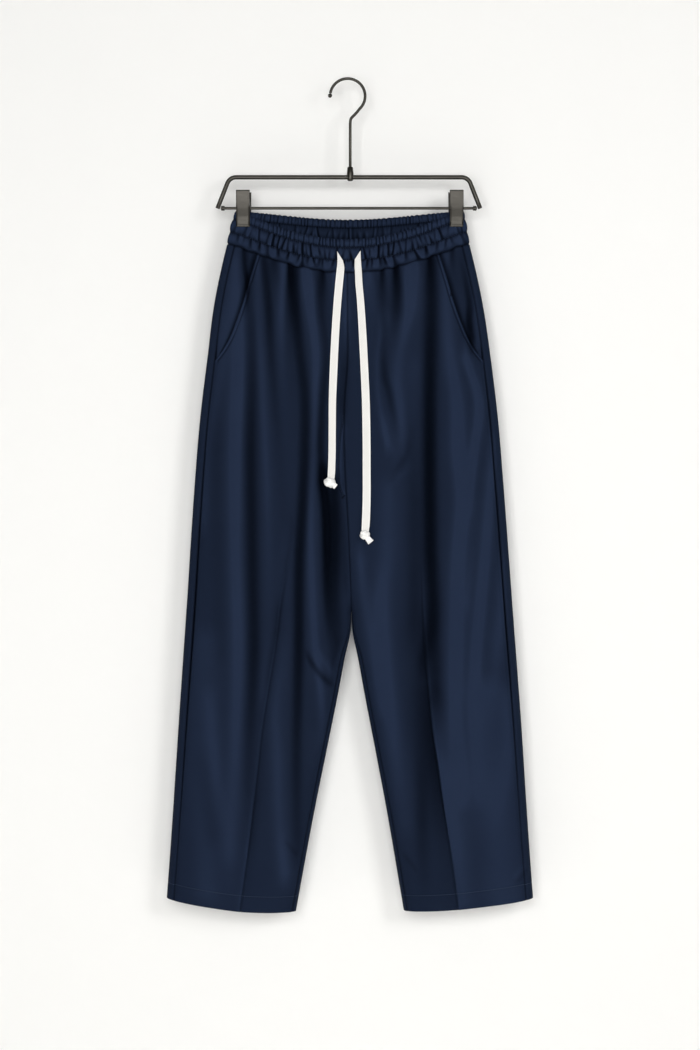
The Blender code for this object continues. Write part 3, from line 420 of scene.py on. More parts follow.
def relief_of(side, turn, drop):
    """Height of the creases and folds at a turn and drop, fading out at the folded edges."""
    front, face = face_of(turn)
    outer, inner = edges(side, drop)
    half = np.abs(inner - outer)
    share = share_of(face)
    x = outer + (inner - outer) * share
    on_front = line_height(x, drop) + fold_height(x, drop, FRONT_PULLS)
    on_front = on_front + FRONT_DRIFT * drift(x, drop, 1.0)
    from_crease = (share - for_side(side, drop, CREASE)) * half
    on_back = CREASE_HEIGHT * ramp(drop, *CREASE_RISE) * np.exp(-np.abs(from_crease) / CREASE_WIDTH)
    on_back = on_back + fold_height(x, drop, BACK_FOLDS) + BACK_DRIFT * drift(x, drop, 2.0)
    relief = np.where(front, under_tapes(x, drop, on_front, half, face), on_back)
    flat_outer, flat_inner = FLAT_EDGES
    inside = 1 - ramp(drop, RISE_START, CROTCH) * (1 - ease((1 - share) * half / flat_inner))
    return relief * ease(share * half / flat_outer) * inside


def skin(side, turn, drop):
    """Outer surface of one half: x and y at a turn and drop, creases and folds included."""
    front, face = face_of(turn)
    outer, inner = edges(side, drop)
    depth = np.where(front, smooth(drop, DEPTH, 1), smooth(drop, DEPTH, 2))
    out = section(face, drop, np.abs(inner - outer), depth) + relief_of(side, turn, drop)
    return outer + (inner - outer) * share_of(face), np.where(front, -out, out)


def top_drop(share, back):
    """Drop of the band's top edge, from its share of the way in from the fold."""
    return BAND_TOP + (SAG_BACK if back else SAG_FRONT) * np.sin(PI / 2 * share) ** SAG_POWER


def hem_drop(side, share):
    return for_side(side, share, HEM)


def seam_drop(share, back):
    """Drop of a panel's top edge, just below the band."""
    return top_drop(share, back) + BAND_HEIGHT + SEAM / 2


def down_share(side, level, back):
    """Share of the way down its panel of a row, from the row's drop at the inner edge."""
    top = seam_drop(1.0, back)
    return (level - top) / (hem_drop(side, 1.0) - top)


def row_drop(side, share, down, back):
    """Drop of a panel's row at a share of the way across."""
    top = seam_drop(share, back)
    return top + (hem_drop(side, share) - top) * down


def pocket_share(side, level):
    """Share of the way across where a front row meets the pocket opening, or the side seam below."""
    drop = np.linspace(POCKET[0][0], POCKET[-1][0], 200)
    share = smooth(drop, POCKET) / half_width(side, drop)
    top = seam_drop(share, False)
    down = (drop - top) / (hem_drop(side, share) - top)
    return np.interp(down_share(side, level, False), down, share)


def side_share(side, level, back=False):
    """Share of the way across where a row meets the side seam."""
    drop = row_drop(side, SIDE_SHARE, down_share(side, level, back), False)
    return SIDE_ROLL / half_width(side, drop)


def inseam_share(side, level):
    roll = INSEAM_ROLL * ease((level - CROTCH) / INSEAM_ROLL_RISE)
    return 1 - roll / half_width(side, level)


# ---------------------------------------------------------------- making meshes

CRISP = math.radians(50)  # edges of cloth and sheet sharper than this stay crisp
CRISP_BODY = math.radians(40)


def unit(vectors):
    return vectors / np.maximum(np.linalg.norm(vectors, axis=-1, keepdims=True), 1e-12)


def circle(steps):
    """Cosine and sine of points evenly spaced round a circle."""
    angle = np.linspace(0, 2 * PI, steps, endpoint=False)
    return np.stack([np.cos(angle), np.sin(angle)], axis=1)


def add_mesh(name, points, face_sets, uv=None, relief=None):
    """An object from points in mm and arrays of faces with a fixed number of corners each.

    Relief is each point's height on its folds in mm, which the cloth's material paints its shade by.
    """
    mesh = bpy.data.meshes.new(name)
    points = points.reshape(-1, 3) * (MM, MM, -MM)
    mesh.vertices.add(len(points))
    mesh.vertices.foreach_set("co", points.astype(np.float32).ravel())
    corners = np.concatenate([faces.ravel() for faces in face_sets])
    sizes = np.concatenate([np.full(len(faces), faces.shape[1]) for faces in face_sets])
    mesh.loops.add(len(corners))
    mesh.loops.foreach_set("vertex_index", corners.astype(np.int32))
    mesh.polygons.add(len(sizes))
    mesh.polygons.foreach_set("loop_start", np.r_[0, np.cumsum(sizes)[:-1]].astype(np.int32))
    mesh.update(calc_edges=True)
    if uv is not None:
        layer = mesh.uv_layers.new(name="cloth_metres")
        layer.data.foreach_set("uv", (uv.reshape(-1, 2)[corners] * MM).astype(np.float32).ravel())
    if relief is not None:
        heights = mesh.attributes.new("relief", "FLOAT", "POINT")
        heights.data.foreach_set("value", relief.astype(np.float32).ravel())
    mesh.shade_smooth()
    return add_object(name, mesh)


def grid_faces(rows, columns, wrap=False):
    """Quads of a grid, which wraps round from its last column to its first where it is a tube."""
    index = np.arange(rows * columns).reshape(rows, columns)
    if wrap:
        index = np.concatenate([index, index[:, :1]], axis=1)
    a, b, c, d = index[:-1, :-1], index[:-1, 1:], index[1:, 1:], index[1:, :-1]
    return np.stack([a, d, c, b], axis=-1).reshape(-1, 4)


def grid_normals(points, wrap=False):
    """Outward unit normals of a grid, from the differences along its rows and columns."""
    space = points * UP
    if wrap:
        across = np.roll(space, -1, axis=1) - np.roll(space, 1, axis=1)
    else:
        across = np.gradient(space, axis=1)
    return unit(np.cross(np.gradient(space, axis=0), across)) * UP


def pushed(points, height):
    """The grid moved out along its normals."""
    return points + grid_normals(points) * height[..., None]


def shell(name, outer, inner, uv=None, wrap=False, relief=None, inner_relief=None):
    """A closed wall between an outer and an inner grid, with a rim round the edges.

    Inner may be the wall's thickness, and then the outer grid is moved in by it.
    """
    rows, columns = outer.shape[:2]
    count = rows * columns
    if np.isscalar(inner):
        inner = outer - grid_normals(outer, wrap) * inner
    faces = grid_faces(rows, columns, wrap)
    index = np.arange(count).reshape(rows, columns)
    if wrap:
        top, low = index[0], index[-1]
        rim = np.concatenate([stacked(top, np.roll(top, -1)), stacked(np.roll(low, -1), low)])
    else:
        loop = np.concatenate([index[0, :-1], index[:-1, -1], index[-1, :0:-1], index[:0:-1, 0]])
        rim = stacked(loop, np.roll(loop, -1))
    rim = np.concatenate([rim, rim[:, ::-1] + count], axis=1)
    if uv is not None:
        uv = np.stack([uv, uv])
    # Relief and inner relief set the painted shade of the outer and inner face.
    if relief is not None:
        relief = np.stack([relief, np.zeros_like(relief) if inner_relief is None else inner_relief])
    obj = add_mesh(name, np.stack([outer, inner]), [faces, faces[:, ::-1] + count, rim], uv, relief)
    obj.data.set_sharp_from_angle(angle=CRISP)
    return obj


def arc_uv(points):
    """Cloth coordinates of a grid in mm: length along each row from its middle, and length down."""
    u = lengths(points)
    down = np.linalg.norm(np.diff(points, axis=0), axis=-1).mean(axis=1)
    return stacked(u - u[:, -1:] / 2, np.r_[0, np.cumsum(down)][:, None])


def ringed(name, rings, uv=None):
    """A closed body through rings of points, each end filled by a flat face."""
    count, around = rings.shape[:2]
    ring = np.arange(around)[None]
    faces = [grid_faces(count, around, wrap=True), ring, ring[:, ::-1] + (count - 1) * around]
    obj = add_mesh(name, rings, faces, uv)
    repair_normals(obj)
    obj.data.set_sharp_from_angle(angle=CRISP_BODY)
    return obj


def repair_normals(obj):
    """Turns the faces of a closed body outwards where its volume comes out negative."""
    mesh = obj.data
    mesh.calc_loop_triangles()
    points = np.empty(len(mesh.vertices) * 3, np.float32)
    mesh.vertices.foreach_get("co", points)
    triangles = np.empty(len(mesh.loop_triangles) * 3, np.int32)
    mesh.loop_triangles.foreach_get("vertices", triangles)
    corners = points.reshape(-1, 3)[triangles.reshape(-1, 3)].astype(float)
    if np.linalg.det(corners).sum() < 0:
        mesh.flip_normals()


# ---------------------------------------------------------------- drawstring

TAPE_WIDTH = 11.4
TAPE_THICK = 1.8
TAPE_EDGE = 0.78  # share of the half width where the tape's woven edge band begins
# Drawstring ends: drop, x and y of the middle, how much lower the right edge is, and the share of its
# full width that shows; the top slants and narrows where the tape comes out of its buttonhole.
LEFT_TAPE = (
    (250.3, -11.6, -30.8, 18.5, 0.72), (262, -10.6, -30.6, 9, 0.84), (275, -11.7, -30.2, 2, 0.92),
    (287, -12.9, -29.8, 0, 0.94), (308, -14.8, -29.3, 0, 0.94), (336, -16.9, -29.4, 0, 0.94),
    (364, -18.6, -29.5, 0, 0.94), (406, -20.6, -29.7, 0, 0.95), (448, -22.2, -29.8, 0, 0.9),
    (490, -22.6, -29.8, 0, 0.88), (532, -23.0, -29.8, 0, 0.88), (557, -24.1, -30.0, 0, 0.86),
    (564, -24.7, -30.2, 0, 0.8),
)
RIGHT_TAPE = (
    (249, 12.6, -30.3, -17.5, 0.72), (262, 12.9, -30.0, -8, 0.79), (274, 13.8, -29.8, -2, 0.83),
    (287, 14.4, -29.5, 0, 0.86), (308, 16.3, -29.2, 0, 0.87), (336, 18.3, -29.3, 0, 0.9),
    (364, 19.9, -29.4, 0, 0.93), (406, 22.0, -29.6, 0, 0.94), (448, 23.9, -29.7, 0, 0.96),
    (490, 24.8, -29.7, 0, 0.97), (540, 25.1, -29.5, 0, 0.97), (600, 24.8, -29.6, 0, 0.97),
    (623, 23.8, -30.2, 0, 0.96), (630, 23.3, -30.2, 0, 0.9), (636, 23.0, -30.4, 0, 0.84),
)
LEFT_KNOT = (-25.6, -31.2, 564.2)
RIGHT_KNOT = (22.6, -31.6, 636.4)


def tape_profile():
    """Ring of a flat tape: x across and y through it, thicker edge bands and rounded ends."""
    t = np.linspace(-1, 1, 16)
    half = np.sqrt(1 - t**8)
    from_band = np.abs(t) - TAPE_EDGE
    thick = half * (0.84 + 0.16 * ease((from_band + 0.06) / 0.08) - 0.12 * bump(from_band, 0.05))
    front, back = stacked(t, -thick), stacked(t, half)[::-1]
    return np.concatenate([front, back[1:-1]]) * (TAPE_WIDTH / 2, TAPE_THICK / 2)


def tape(name, table, steps):
    """A flat woven tape down the rows of its table, a little cupped and turned, and its middle line."""
    drops = np.linspace(table[0][0], table[-1][0], steps)[:, None]
    x, y, slant, shown = (smooth(drops, table, column) for column in (1, 2, 3, 4))
    across, through = tape_profile().T
    across = across * shown
    lean = 0.05 * np.sin(drops / 47 + 0.6)
    cup = 0.012 * np.sin(drops / 60)
    px = x + across * np.cos(lean) - through * np.sin(lean)
    py = y + through + across * np.sin(lean) + cup * across**2 - 0.3
    obj = ringed(name, stacked(px, py, drops + slant * across / TAPE_WIDTH), stacked(across, drops))
    return obj, np.concatenate([x, y, -drops], axis=1) * MM


def knot(name, place, sizes, lean):
    """An overhand knot drawn tight: a flat strap round a closed curve that winds three times.

    The curve is (sin t + 2 sin 2t, -sin 3t, cos t - 2 cos 2t). Sizes are the knot's half sizes across,
    deep and tall, and lean turns it in the plane of the front.
    """
    t = np.linspace(0, 2 * PI, 120, endpoint=False)
    curve = stacked(np.sin(t) + 2 * np.sin(2 * t), -1.15 * np.sin(3 * t), np.cos(t) - 2 * np.cos(2 * t))
    curve = curve / (2.9, 1.15, 2.9)
    tangent = unit(np.roll(curve, -1, axis=0) - np.roll(curve, 1, axis=0))
    flat = unit(np.cross(tangent, unit(curve + 1e-6)))
    outward = np.cross(flat, tangent)
    wide, thin = circle(20).T[..., None]
    wide = np.sign(wide) * np.abs(wide) ** 0.7 * 0.5
    rings = 0.62 * curve[:, None] + wide * flat[:, None] + 0.3 * thin * outward[:, None]
    x, y, low = np.moveaxis(rings * sizes, -1, 0)
    sine, cosine = math.sin(lean), math.cos(lean)
    points = stacked(x * cosine - low * sine, y, x * sine + low * cosine)
    count, around = x.shape
    index = np.pad(np.arange(count * around).reshape(count, around), (0, 1), mode="wrap")
    faces = np.stack([index[:-1, :-1], index[1:, :-1], index[1:, 1:], index[:-1, 1:]], axis=-1)
    uv = stacked(np.linspace(-6, 6, around), np.linspace(0, 90, count)[:, None])
    obj = add_mesh(name, points + place, [faces.reshape(-1, 4)], uv)
    repair_normals(obj)
    return obj


def knot_heart(name, place, sizes):
    """The cloth packed inside a knot: a ball of the given half sizes across, deep and tall."""
    polar = np.linspace(0.06, PI - 0.06, 20)[:, None]
    cosine, sine = circle(28).T
    ball = stacked(np.sin(polar) * cosine, np.sin(polar) * sine, -np.cos(polar))
    return ringed(name, ball * sizes + place, stacked(6 * cosine, 12 * polar))


def stub(name, start, end, width, thick):
    """The short cut end of a tape past its knot, a flat rounded strip that flares a little."""
    t = np.linspace(0, 1, 14)[:, None]
    start, end = np.array(start), np.array(end)
    flat = unit(np.cross(unit(end - start), (0, 1, 0)))
    across, through = (tape_profile() / (TAPE_WIDTH, TAPE_THICK) * (width, thick)).T
    swelling = 1 + 0.5 * bump(t - 1, 0.15)
    rings = (start + (end - start) * t)[:, None] + (across * (0.86 + 0.2 * t))[..., None] * flat
    rings = rings + (through * swelling)[..., None] * (0, 1, 0)
    return ringed(name, rings, stacked(across, 12 * t))


tape_left, left_line = tape("drawstring_left_tape", LEFT_TAPE, 150)
tape_right, right_line = tape("drawstring_right_tape", RIGHT_TAPE, 180)
knot_left = knot("drawstring_left_knot", LEFT_KNOT, (9.4, 6.4, 7.4), 0.35)
knot_right = knot("drawstring_right_knot", RIGHT_KNOT, (7.6, 6.2, 7.0), -0.3)
heart_left = knot_heart("drawstring_left_knot_heart", LEFT_KNOT, (7.6, 4.9, 6.2))
heart_right = knot_heart("drawstring_right_knot_heart", RIGHT_KNOT, (6.2, 4.8, 5.8))
tail_left = stub("drawstring_left_end", (-21.6, -31.6, 567), (-17.4, -32.0, 570.2), 7.6, 4.0)
tail_right = stub("drawstring_right_end", (25.4, -31.6, 640), (31.2, -32.0, 647.2), 8.8, 4.8)
left_knotted, right_knotted = [knot_left, heart_left, tail_left], [knot_right, heart_right, tail_right]
for piece, line, length, others, node in (
    (tape_left, left_line, 0.322, left_knotted, "drawstring_left"),
    (tape_right, right_line, 0.392, right_knotted, "drawstring_right"),
):
    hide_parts(node)
    for part in (piece, *others):
        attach(part, "root")
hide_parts("knot_left")
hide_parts("knot_right")
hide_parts("drawstring_tail")

# ---------------------------------------------------------------- cloth panels

ROW_STEP = 3.7
COLUMN_STEP = 2.2
EDGE_COLUMNS = (0, 0.35, 0.8, 1.4, 2.2, 3.2, 4.4)  # distances from a cut edge, where the seam dips
TOP_ROWS = (-1.8, 0, 0.4, 0.9, 1.6, 2.5, 3.6, 5.0, 6.6)  # from the waist seam
HEM_ROWS = (-2.4, -1.2, -0.5, 0, 0.5, 1.2, 2.4)  # from the hem's stitching
LAST_ROWS = (1.6, 0.9, 0.4, 0)  # above the hem's edge
SEAM_DIP, SEAM_DIP_WIDTH = 0.9, 1.25
SEAM_SHADE = 1.8  # how much more than their height seams and tucks count in the painted shade
OPEN_EDGE_DIP = 0.35  # dip of the pocket's open edge
TOPSTITCH_IN = 4.2  # the pocket's topstitching, in from its edge
TOPSTITCH_DIP, TOPSTITCH_TRACE = 0.8, 0.15
POCKET_RIM = 0.5  # rolled edge of the pocket opening, outside its topstitching
HEM_DIP = 0.25
PRESSED_FROM = 620  # drop where the pressed crease is sharp
PRESS_RIDGE, PRESS_HOLLOW = 0.36, 0.5
PRESS_SHADE = 1.9  # the hollow beside the pressed crease, in real and painted shade, this far in from it
FLY_DIP, FLY_RIDGE, FLY_RIDGE_IN = 0.9, 0.45, 2.6  # the mock fly's stitching and the ridge beside it
TUCKED_UNDER = 2.2  # how far a panel's top edge lies in behind the band
STEP_REACH = 9  # how far below the waist seam its steps still show
SHUT_FADE, SHUT_REACH = 12, 2.5  # of drawing the panels together at the middle: down, and across
BEARER_REACH = 7  # how far the hip piece goes on under the front
# BEARER_SHADE is painted shade on the hip piece under the pocket opening.
BEARER_TIP, BEARER_SHADE = 28, 3.5

# Curve of the mock fly's stitching, on the left front: drop, x.
FLY_LINE = (
    (470, -7.6), (482, -8.4), (500, -11.6), (525, -13.3), (552, -13.4), (568, -12.6), (583, -7.4),
)
# Bar tacks: side, x, drop, lean from upright in radians, length.
BAR_TACKS = ((-1, -7.2, 584, -0.75, 6.5), (-1, -140.6, 302, 0.1, 6), (1, 142.6, 302, -0.15, 6))
# Tucks caught in the waist seam: x, how deep, half width, how far down they reach.
FRONT_TUCKS = (
    (-146, 1.6, 3.0, 26), (-128, -1.2, 5, 30), (-104, 0.8, 5, 24), (-81, 2.6, 3.2, 46),
    (-60, -1.0, 6, 30), (-36, 1.8, 3.4, 34), (-18, -1.0, 4, 26), (26, -1.0, 5, 30),
    (47, 1.8, 3.2, 36), (66, 2.0, 3.4, 40), (90, -1.2, 6, 30), (114, 1.6, 3.4, 34),
    (130, -0.8, 4, 20), (145, 1.6, 3.0, 28),
)
BACK_TUCKS = (
    (-140, 1.6, 3.2, 28), (-118, -1.0, 6, 26), (-96, 1.8, 3.4, 34), (-70, 1.2, 4, 30),
    (-46, 1.8, 3.4, 40), (-20, 1.4, 3.6, 30), (8, 1.6, 3.2, 30), (34, 1.2, 4, 34),
    (58, 2.0, 3.4, 38), (86, 1.4, 3.6, 30), (112, 1.8, 3.2, 34), (138, 1.4, 3.4, 26),
)
# Steps of the waist seam at its tucks: x, height of the step, half width.
SEAM_STEPS = (
    (-145, 2.6, 7), (-126, 1.4, 6), (-78, 3.0, 6), (-36, 2.0, 7), (-14, 1.0, 6), (22, 1.0, 7),
    (48, -2.2, 7), (66, -2.6, 6), (92, -1.2, 7), (114, -2.2, 6), (145, -2.4, 7),
)


def tucked(x, below, tucks):
    """Height of the tucks under the waist seam: narrow troughs that widen and fade as they run down."""
    total = np.zeros(np.broadcast(x, below).shape)
    for at, depth, half, reach in tucks:
        fade = np.exp(-np.maximum(below, 0) / reach)
        total = total - depth * bump(x - at, half * (1 + below / reach)) * fade
    return total


def seam_step(x):
    """How much lower the waist seam runs at x: it rises on one side of each tuck and falls beyond."""
    total = np.zeros_like(x)
    for at, height, half in SEAM_STEPS:
        total = total + height * (x - at) / half * bump(x - at, half)
    return total


def edge_columns(length, crease):
    """Distances along a row of a given length: close together at both edges, and one on the crease."""
    first = np.array(EDGE_COLUMNS, float)
    start, stop = first[-1], length - first[-1]
    left = np.linspace(start, crease, max(3, int(round((crease - start) / COLUMN_STEP))))
    right = np.linspace(crease, stop, max(3, int(round((stop - crease) / COLUMN_STEP))))
    return np.concatenate([first[:-1], left, right[1:], length - first[-2::-1]])


def levels_down(side, back):
    """Levels of the rows from waist seam to hem: close together at both edges and the hem stitching."""
    top, low = seam_drop(1.0, back), hem_drop(side, 1.0)
    first = top + np.array(TOP_ROWS)
    hem = low - HEM_DEPTH + np.array(HEM_ROWS)
    middle = np.arange(first[-1] + 2, hem[0] - 1, ROW_STEP)
    low_rows = np.arange(hem[-1] + 1.8, low - 2.4, 1.8)
    return np.concatenate([first, middle, hem, low_rows, low - np.array(LAST_ROWS)])


def panel_drop(side, turns, level, back):
    """Drop of a panel's points; a back takes the front's rows where it is rolled round the folds."""
    down = down_share(side, level, back)
    if not back:
        return row_drop(side, share_of(turns), down, False)
    share = share_of(np.where(turns < PI, PI, np.abs(2 * PI - turns)))
    rolled = turns >= 2 * PI
    return np.where(rolled, row_drop(side, share, down, False), row_drop(side, share, down, True))


def panel_grid(side, levels, start, end, crease, back):
    """Turns and drops of a panel's grid: each row runs from its start turn to its end turn.

    Every row takes the same number of columns. They are set out by length on the longest row and scaled
    from edge to crease and from crease to edge on the others, apart from the close ones at the edges.
    """
    turns = start[:, None] + (end - start)[:, None] * np.linspace(0, 1, 500)
    drop = panel_drop(side, turns, levels[:, None], back)
    length = lengths(stacked(*skin(side, turns, drop), drop))
    crease_at = np.array([np.interp(c, t, s) for c, t, s in zip(crease, turns, length)])
    total = length[:, -1]
    longest = int(np.argmax(total))
    model = edge_columns(total[longest], crease_at[longest])
    split = int(np.argmin(np.abs(model - crease_at[longest])))
    reach, close = EDGE_COLUMNS[-1], len(EDGE_COLUMNS) - 1
    knots = (0, reach, model[split], total[longest] - reach, total[longest])
    out = np.empty((len(levels), len(model)))
    for row, (whole, fold) in enumerate(zip(total, crease_at)):
        at = np.interp(model, knots, (0, reach, fold, whole - reach, whole))
        at[:close] = EDGE_COLUMNS[:-1]
        at[-close:] = whole - np.array(EDGE_COLUMNS[-2::-1])
        out[row] = np.interp(at, length[row], turns[row])
    return out, panel_drop(side, out, levels[:, None], back)


def outward(side, *grids):
    """Grids set out from the outer fold, turned left to right on the right half to face outwards."""
    return [grid[:, ::-1] if side > 0 else grid for grid in grids]


def distances(side, points):
    """Length along each row of an outward grid from its start turn, and from its end turn."""
    from_left = lengths(points)
    from_right = from_left[:, -1:] - from_left
    return (from_left, from_right) if side < 0 else (from_right, from_left)


def dip(*from_edges):
    return sum(-SEAM_DIP * bump(distance, SEAM_DIP_WIDTH) for distance in from_edges)


def hem_groove(side, levels):
    """The groove of the hem's stitching."""
    return -HEM_DIP * bump((hem_drop(side, 1.0) - levels)[:, None] - HEM_DEPTH, 0.9)


def sewn_shut(side, outer, levels, from_middle):
    """Draws a panel's edge at the middle onto the line between the halves, to where the legs part."""
    edge = int(np.argmin(from_middle[0]))
    gap = middle_line(side, outer[:, edge, 2]) - outer[:, edge, 0]
    gap = gap * (1 - ease((levels - CROTCH) / SHUT_FADE))
    outer[..., 0] += gap[:, None] * np.exp(-from_middle / SHUT_REACH)


def front_panel(side, label):
    """Front of one leg: from pocket opening and side seam to rise and inseam, dipped in at its seams."""
    levels = levels_down(side, False)
    start = turn_of(np.maximum(pocket_share(side, levels), side_share(side, levels)))
    crease = turn_of(for_side(side, levels, CREASE))
    end = turn_of(inseam_share(side, levels))
    turns, drop = panel_grid(side, levels, start, end, crease, False)
    points = stacked(*skin(side, turns, drop), drop)
    spread = (share_of(turns) - for_side(side, drop, CREASE)) * half_width(side, drop)
    relief = relief_of(side, turns, drop)
    points, drop, spread, relief = outward(side, points, drop, spread, relief)
    from_start, from_end = distances(side, points)
    x, below = points[..., 0], drop - drop[1]
    height = tucked(x, below, FRONT_TUCKS) * ease(from_start / 8) + dip(below, from_end)
    open_dip = np.where(levels < POCKET_TIP_LEVEL + 2, OPEN_EDGE_DIP, SEAM_DIP)[:, None]
    height = height - open_dip * bump(from_start, SEAM_DIP_WIDTH)
    topped = (levels < POCKET_TIP_LEVEL)[:, None]
    stitched = np.where(topped, TOPSTITCH_DIP, TOPSTITCH_TRACE)
    height = height - stitched * bump(from_start - TOPSTITCH_IN, 0.9)
    height = height + np.where(topped, POCKET_RIM, 0) * bump(from_start - TOPSTITCH_IN / 2, 1.1)
    if side < 0:
        fly = ease((drop - FLY_LINE[0][0]) / 14) * ease((FLY_LINE[-1][0] + 1 - drop) / 3)
        beside = x - smooth(drop, FLY_LINE)
        ridge = FLY_RIDGE * bump(beside - FLY_RIDGE_IN, 1.6)
        height = height + fly * (ridge - FLY_DIP * bump(beside, 1.0))
    height = height + hem_groove(side, levels)
    press = PRESS_RIDGE * bump(spread + 0.4, 1.1) - PRESS_HOLLOW * bump(spread - PRESS_SHADE, 1.4)
    height = height + ease((below + 230 - PRESSED_FROM) / 90) * press
    # Painted shade and highlight: the folds, with the seams, tucks, fly, pocket rim and crease counted
    # more than their height.
    relief = relief + SEAM_SHADE * height
    height[0] = -TUCKED_UNDER
    outer = pushed(points, height)
    outer[..., 2] += seam_step(x) * np.exp(-np.maximum(below, 0) / STEP_REACH)
    sewn_shut(side, outer, levels, from_end)
    obj = shell(f"front_{label}_cloth", outer, CLOTH, arc_uv(points), relief=relief)
    return obj, outer, levels, from_start


def back_panel(side, label):
    """Back of one leg: from the inseam round both folds to the side seam, dipped in at its seams."""
    levels = levels_down(side, True)
    start = np.where(levels >= CROTCH, turn_of(inseam_share(side, levels)), PI + 1e-4)
    end = 2 * PI + turn_of(side_share(side, levels, True))
    crease = 2 * PI - turn_of(for_side(side, levels, CREASE))
    turns, drop = panel_grid(side, levels, start + 0.0006, end - 0.0006, crease, True)
    points = stacked(*skin(side, turns, drop), drop)
    points, drop, relief = outward(side, points, drop, relief_of(side, turns, drop))
    from_start, from_end = distances(side, points)
    below = drop - drop[1]
    height = tucked(points[..., 0], below, BACK_TUCKS) * ease(points[..., 1] / 4)
    height = height + dip(below, from_start, from_end) + hem_groove(side, levels)
    height[0] = -TUCKED_UNDER
    outer = pushed(points, height)
    sewn_shut(side, outer, levels, from_start)
    # Painted shade and highlight: the folds, with the seams and tucks counted more than their height.
    relief = relief + SEAM_SHADE * height
    return shell(f"back_{label}_cloth", outer, CLOTH, arc_uv(points), relief=relief), outer, levels


def pocket_bearer(side, label):
    """Hip piece in the pocket opening: flush at the side seam and sunk under the front at the opening."""
    levels = np.linspace(seam_drop(1.0, False), POCKET_TIP_LEVEL, 70)
    half = half_width(side, levels)
    tip = ramp(levels, levels[-1] - BEARER_TIP, levels[-1])
    start = side_share(side, levels) + (SEAM * 0.5 + CLOTH * tip) / half
    opening = np.maximum(pocket_share(side, levels), start + BEARER_REACH / half)
    start, opening, reach = (column[:, None] for column in (start, opening, BEARER_REACH / half))
    shares = start + (opening + reach - start) * np.linspace(0, 1, 34) ** 1.4
    turns = turn_of(shares)
    drop = row_drop(side, shares, down_share(side, levels, False)[:, None], False)
    x, y = skin(side, turns, drop)
    sunk = ease((shares - start) / (opening - start))
    points = stacked(x, y + POCKET_SINK * np.maximum(sunk, tip[:, None]), drop)
    relief = relief_of(side, turns, drop)
    points, drop, sunk, relief = outward(side, points, drop, sunk, relief)
    below = drop - drop[0]
    height = tucked(points[..., 0], below, FRONT_TUCKS) * 0.7 + dip(below, distances(side, points)[0])
    # Painted shade on the hip piece where it runs in under the pocket opening.
    relief = relief + SEAM_SHADE * height - BEARER_SHADE * sunk**16
    outer = pushed(points, height)
    outer[..., 2] += seam_step(points[..., 0]) * np.exp(-below / STEP_REACH)
    return shell(f"pocket_bearer_{label}_cloth", outer, CLOTH * 0.7, arc_uv(points), relief=relief)


def hem_facing(side, label):
    """The hem's turned-up layer inside one leg, a closed strip that follows the leg's section."""
    turns = np.linspace(0, 2 * PI, 260, endpoint=False)
    up = np.linspace(HEM_DEPTH, 0.8, 10)[:, None]
    drop = hem_drop(side, share_of(face_of(turns)[1])) - up
    (points,) = outward(side, stacked(*skin(side, turns, drop), drop))
    points = points - grid_normals(points, wrap=True) * (CLOTH + 1.0)
    points[..., 1] *= 1 + 0.01 * np.linspace(1, 0, 10)[:, None]
    return shell(f"hem_{label}_facing", points, 0.8, arc_uv(points), wrap=True)


# ---------------------------------------------------------------- waistband

BAND_COLUMNS, BAND_ROWS = 600, 48
BAND_EDGE_TURN = 0.01
BAND_EDGE_COLUMNS = (0, 0.12, 0.3)
BAND_SEEDS = (7, 31)  # of the pleats in front and behind
# Pleats of the band's three rows: least and most spacing, depth, half width, lean across the row, how
# much wider they grow down it, and the shares of them that die out towards its top and its bottom.
BAND_PLEATS = (
    ("header", 4.2, 8.8, 1.15, 0.95, 1.2, 0.0, 0.0, 0.1),
    ("middle", 5.6, 14.5, 1.7, 1.35, 5.0, 0.3, 0.35, 0.35),
    ("lower", 5.6, 16.0, 1.7, 1.3, 6.0, 1.5, 0.0, 0.75),
)
CREST_BESIDE = 0.5  # height of the crest beside a pleat, as a share of its depth
PUCKER, PUCKER_PITCH = 0.28, 3.4  # fine puckers at the band's stitch lines
SCALLOP, SCALLOP_PITCH = 1.1, 7.0  # arcs of the band's top edge between its gathers
BAND_GROOVE = 0.8  # of the band's stitch lines
BAND_ROLL = 0.6  # how far its top edge rolls in
# The band's painted shade and highlight from its gathers, grooves, bulges, waist seam and top edge.
GATHER_SHADE, GROOVE_SHADE, BULGE_SHADE, SEAM_LINE_SHADE, TOP_SHADE = 2.6, 1.5, 1.9, 1.6, 0.7


def pleated(along, within, row, seed):
    """Relief of one row's pleats, from mm along the band and the share down the row.

    Each pleat is a narrow trough along a leaning line with a lower crest on one side of it.
    """
    _, least, most, depth, half, lean, spread, from_top, from_bottom = row
    chance = np.random.default_rng(seed)
    count = int(along.max() / least) + 2
    places = np.cumsum(least + (most - least) * chance.random(count) ** 1.6)
    total = np.zeros_like(along)
    for place in places[places < along.max()]:
        a, b, c, d, e, f = chance.random(6)
        across = along - place - lean * (a - 0.5) * 2 * (within - 0.5)
        wide = half * (0.75 + 0.6 * b) * (1 + spread * within)
        deep = depth * (0.45 + 0.75 * c) * (0.6 + 0.4 * np.sin(PI * within))
        if d < from_top:
            deep = deep * ease(within / 0.7)
        if e < from_bottom:
            deep = deep * ease((1 - within) / 0.75)
        beside = wide * (1.7 if f < 0.6 else -1.7)
        total = total - deep * (bump(across, wide) - CREST_BESIDE * bump(across - beside, 1.3 * wide))
    return total


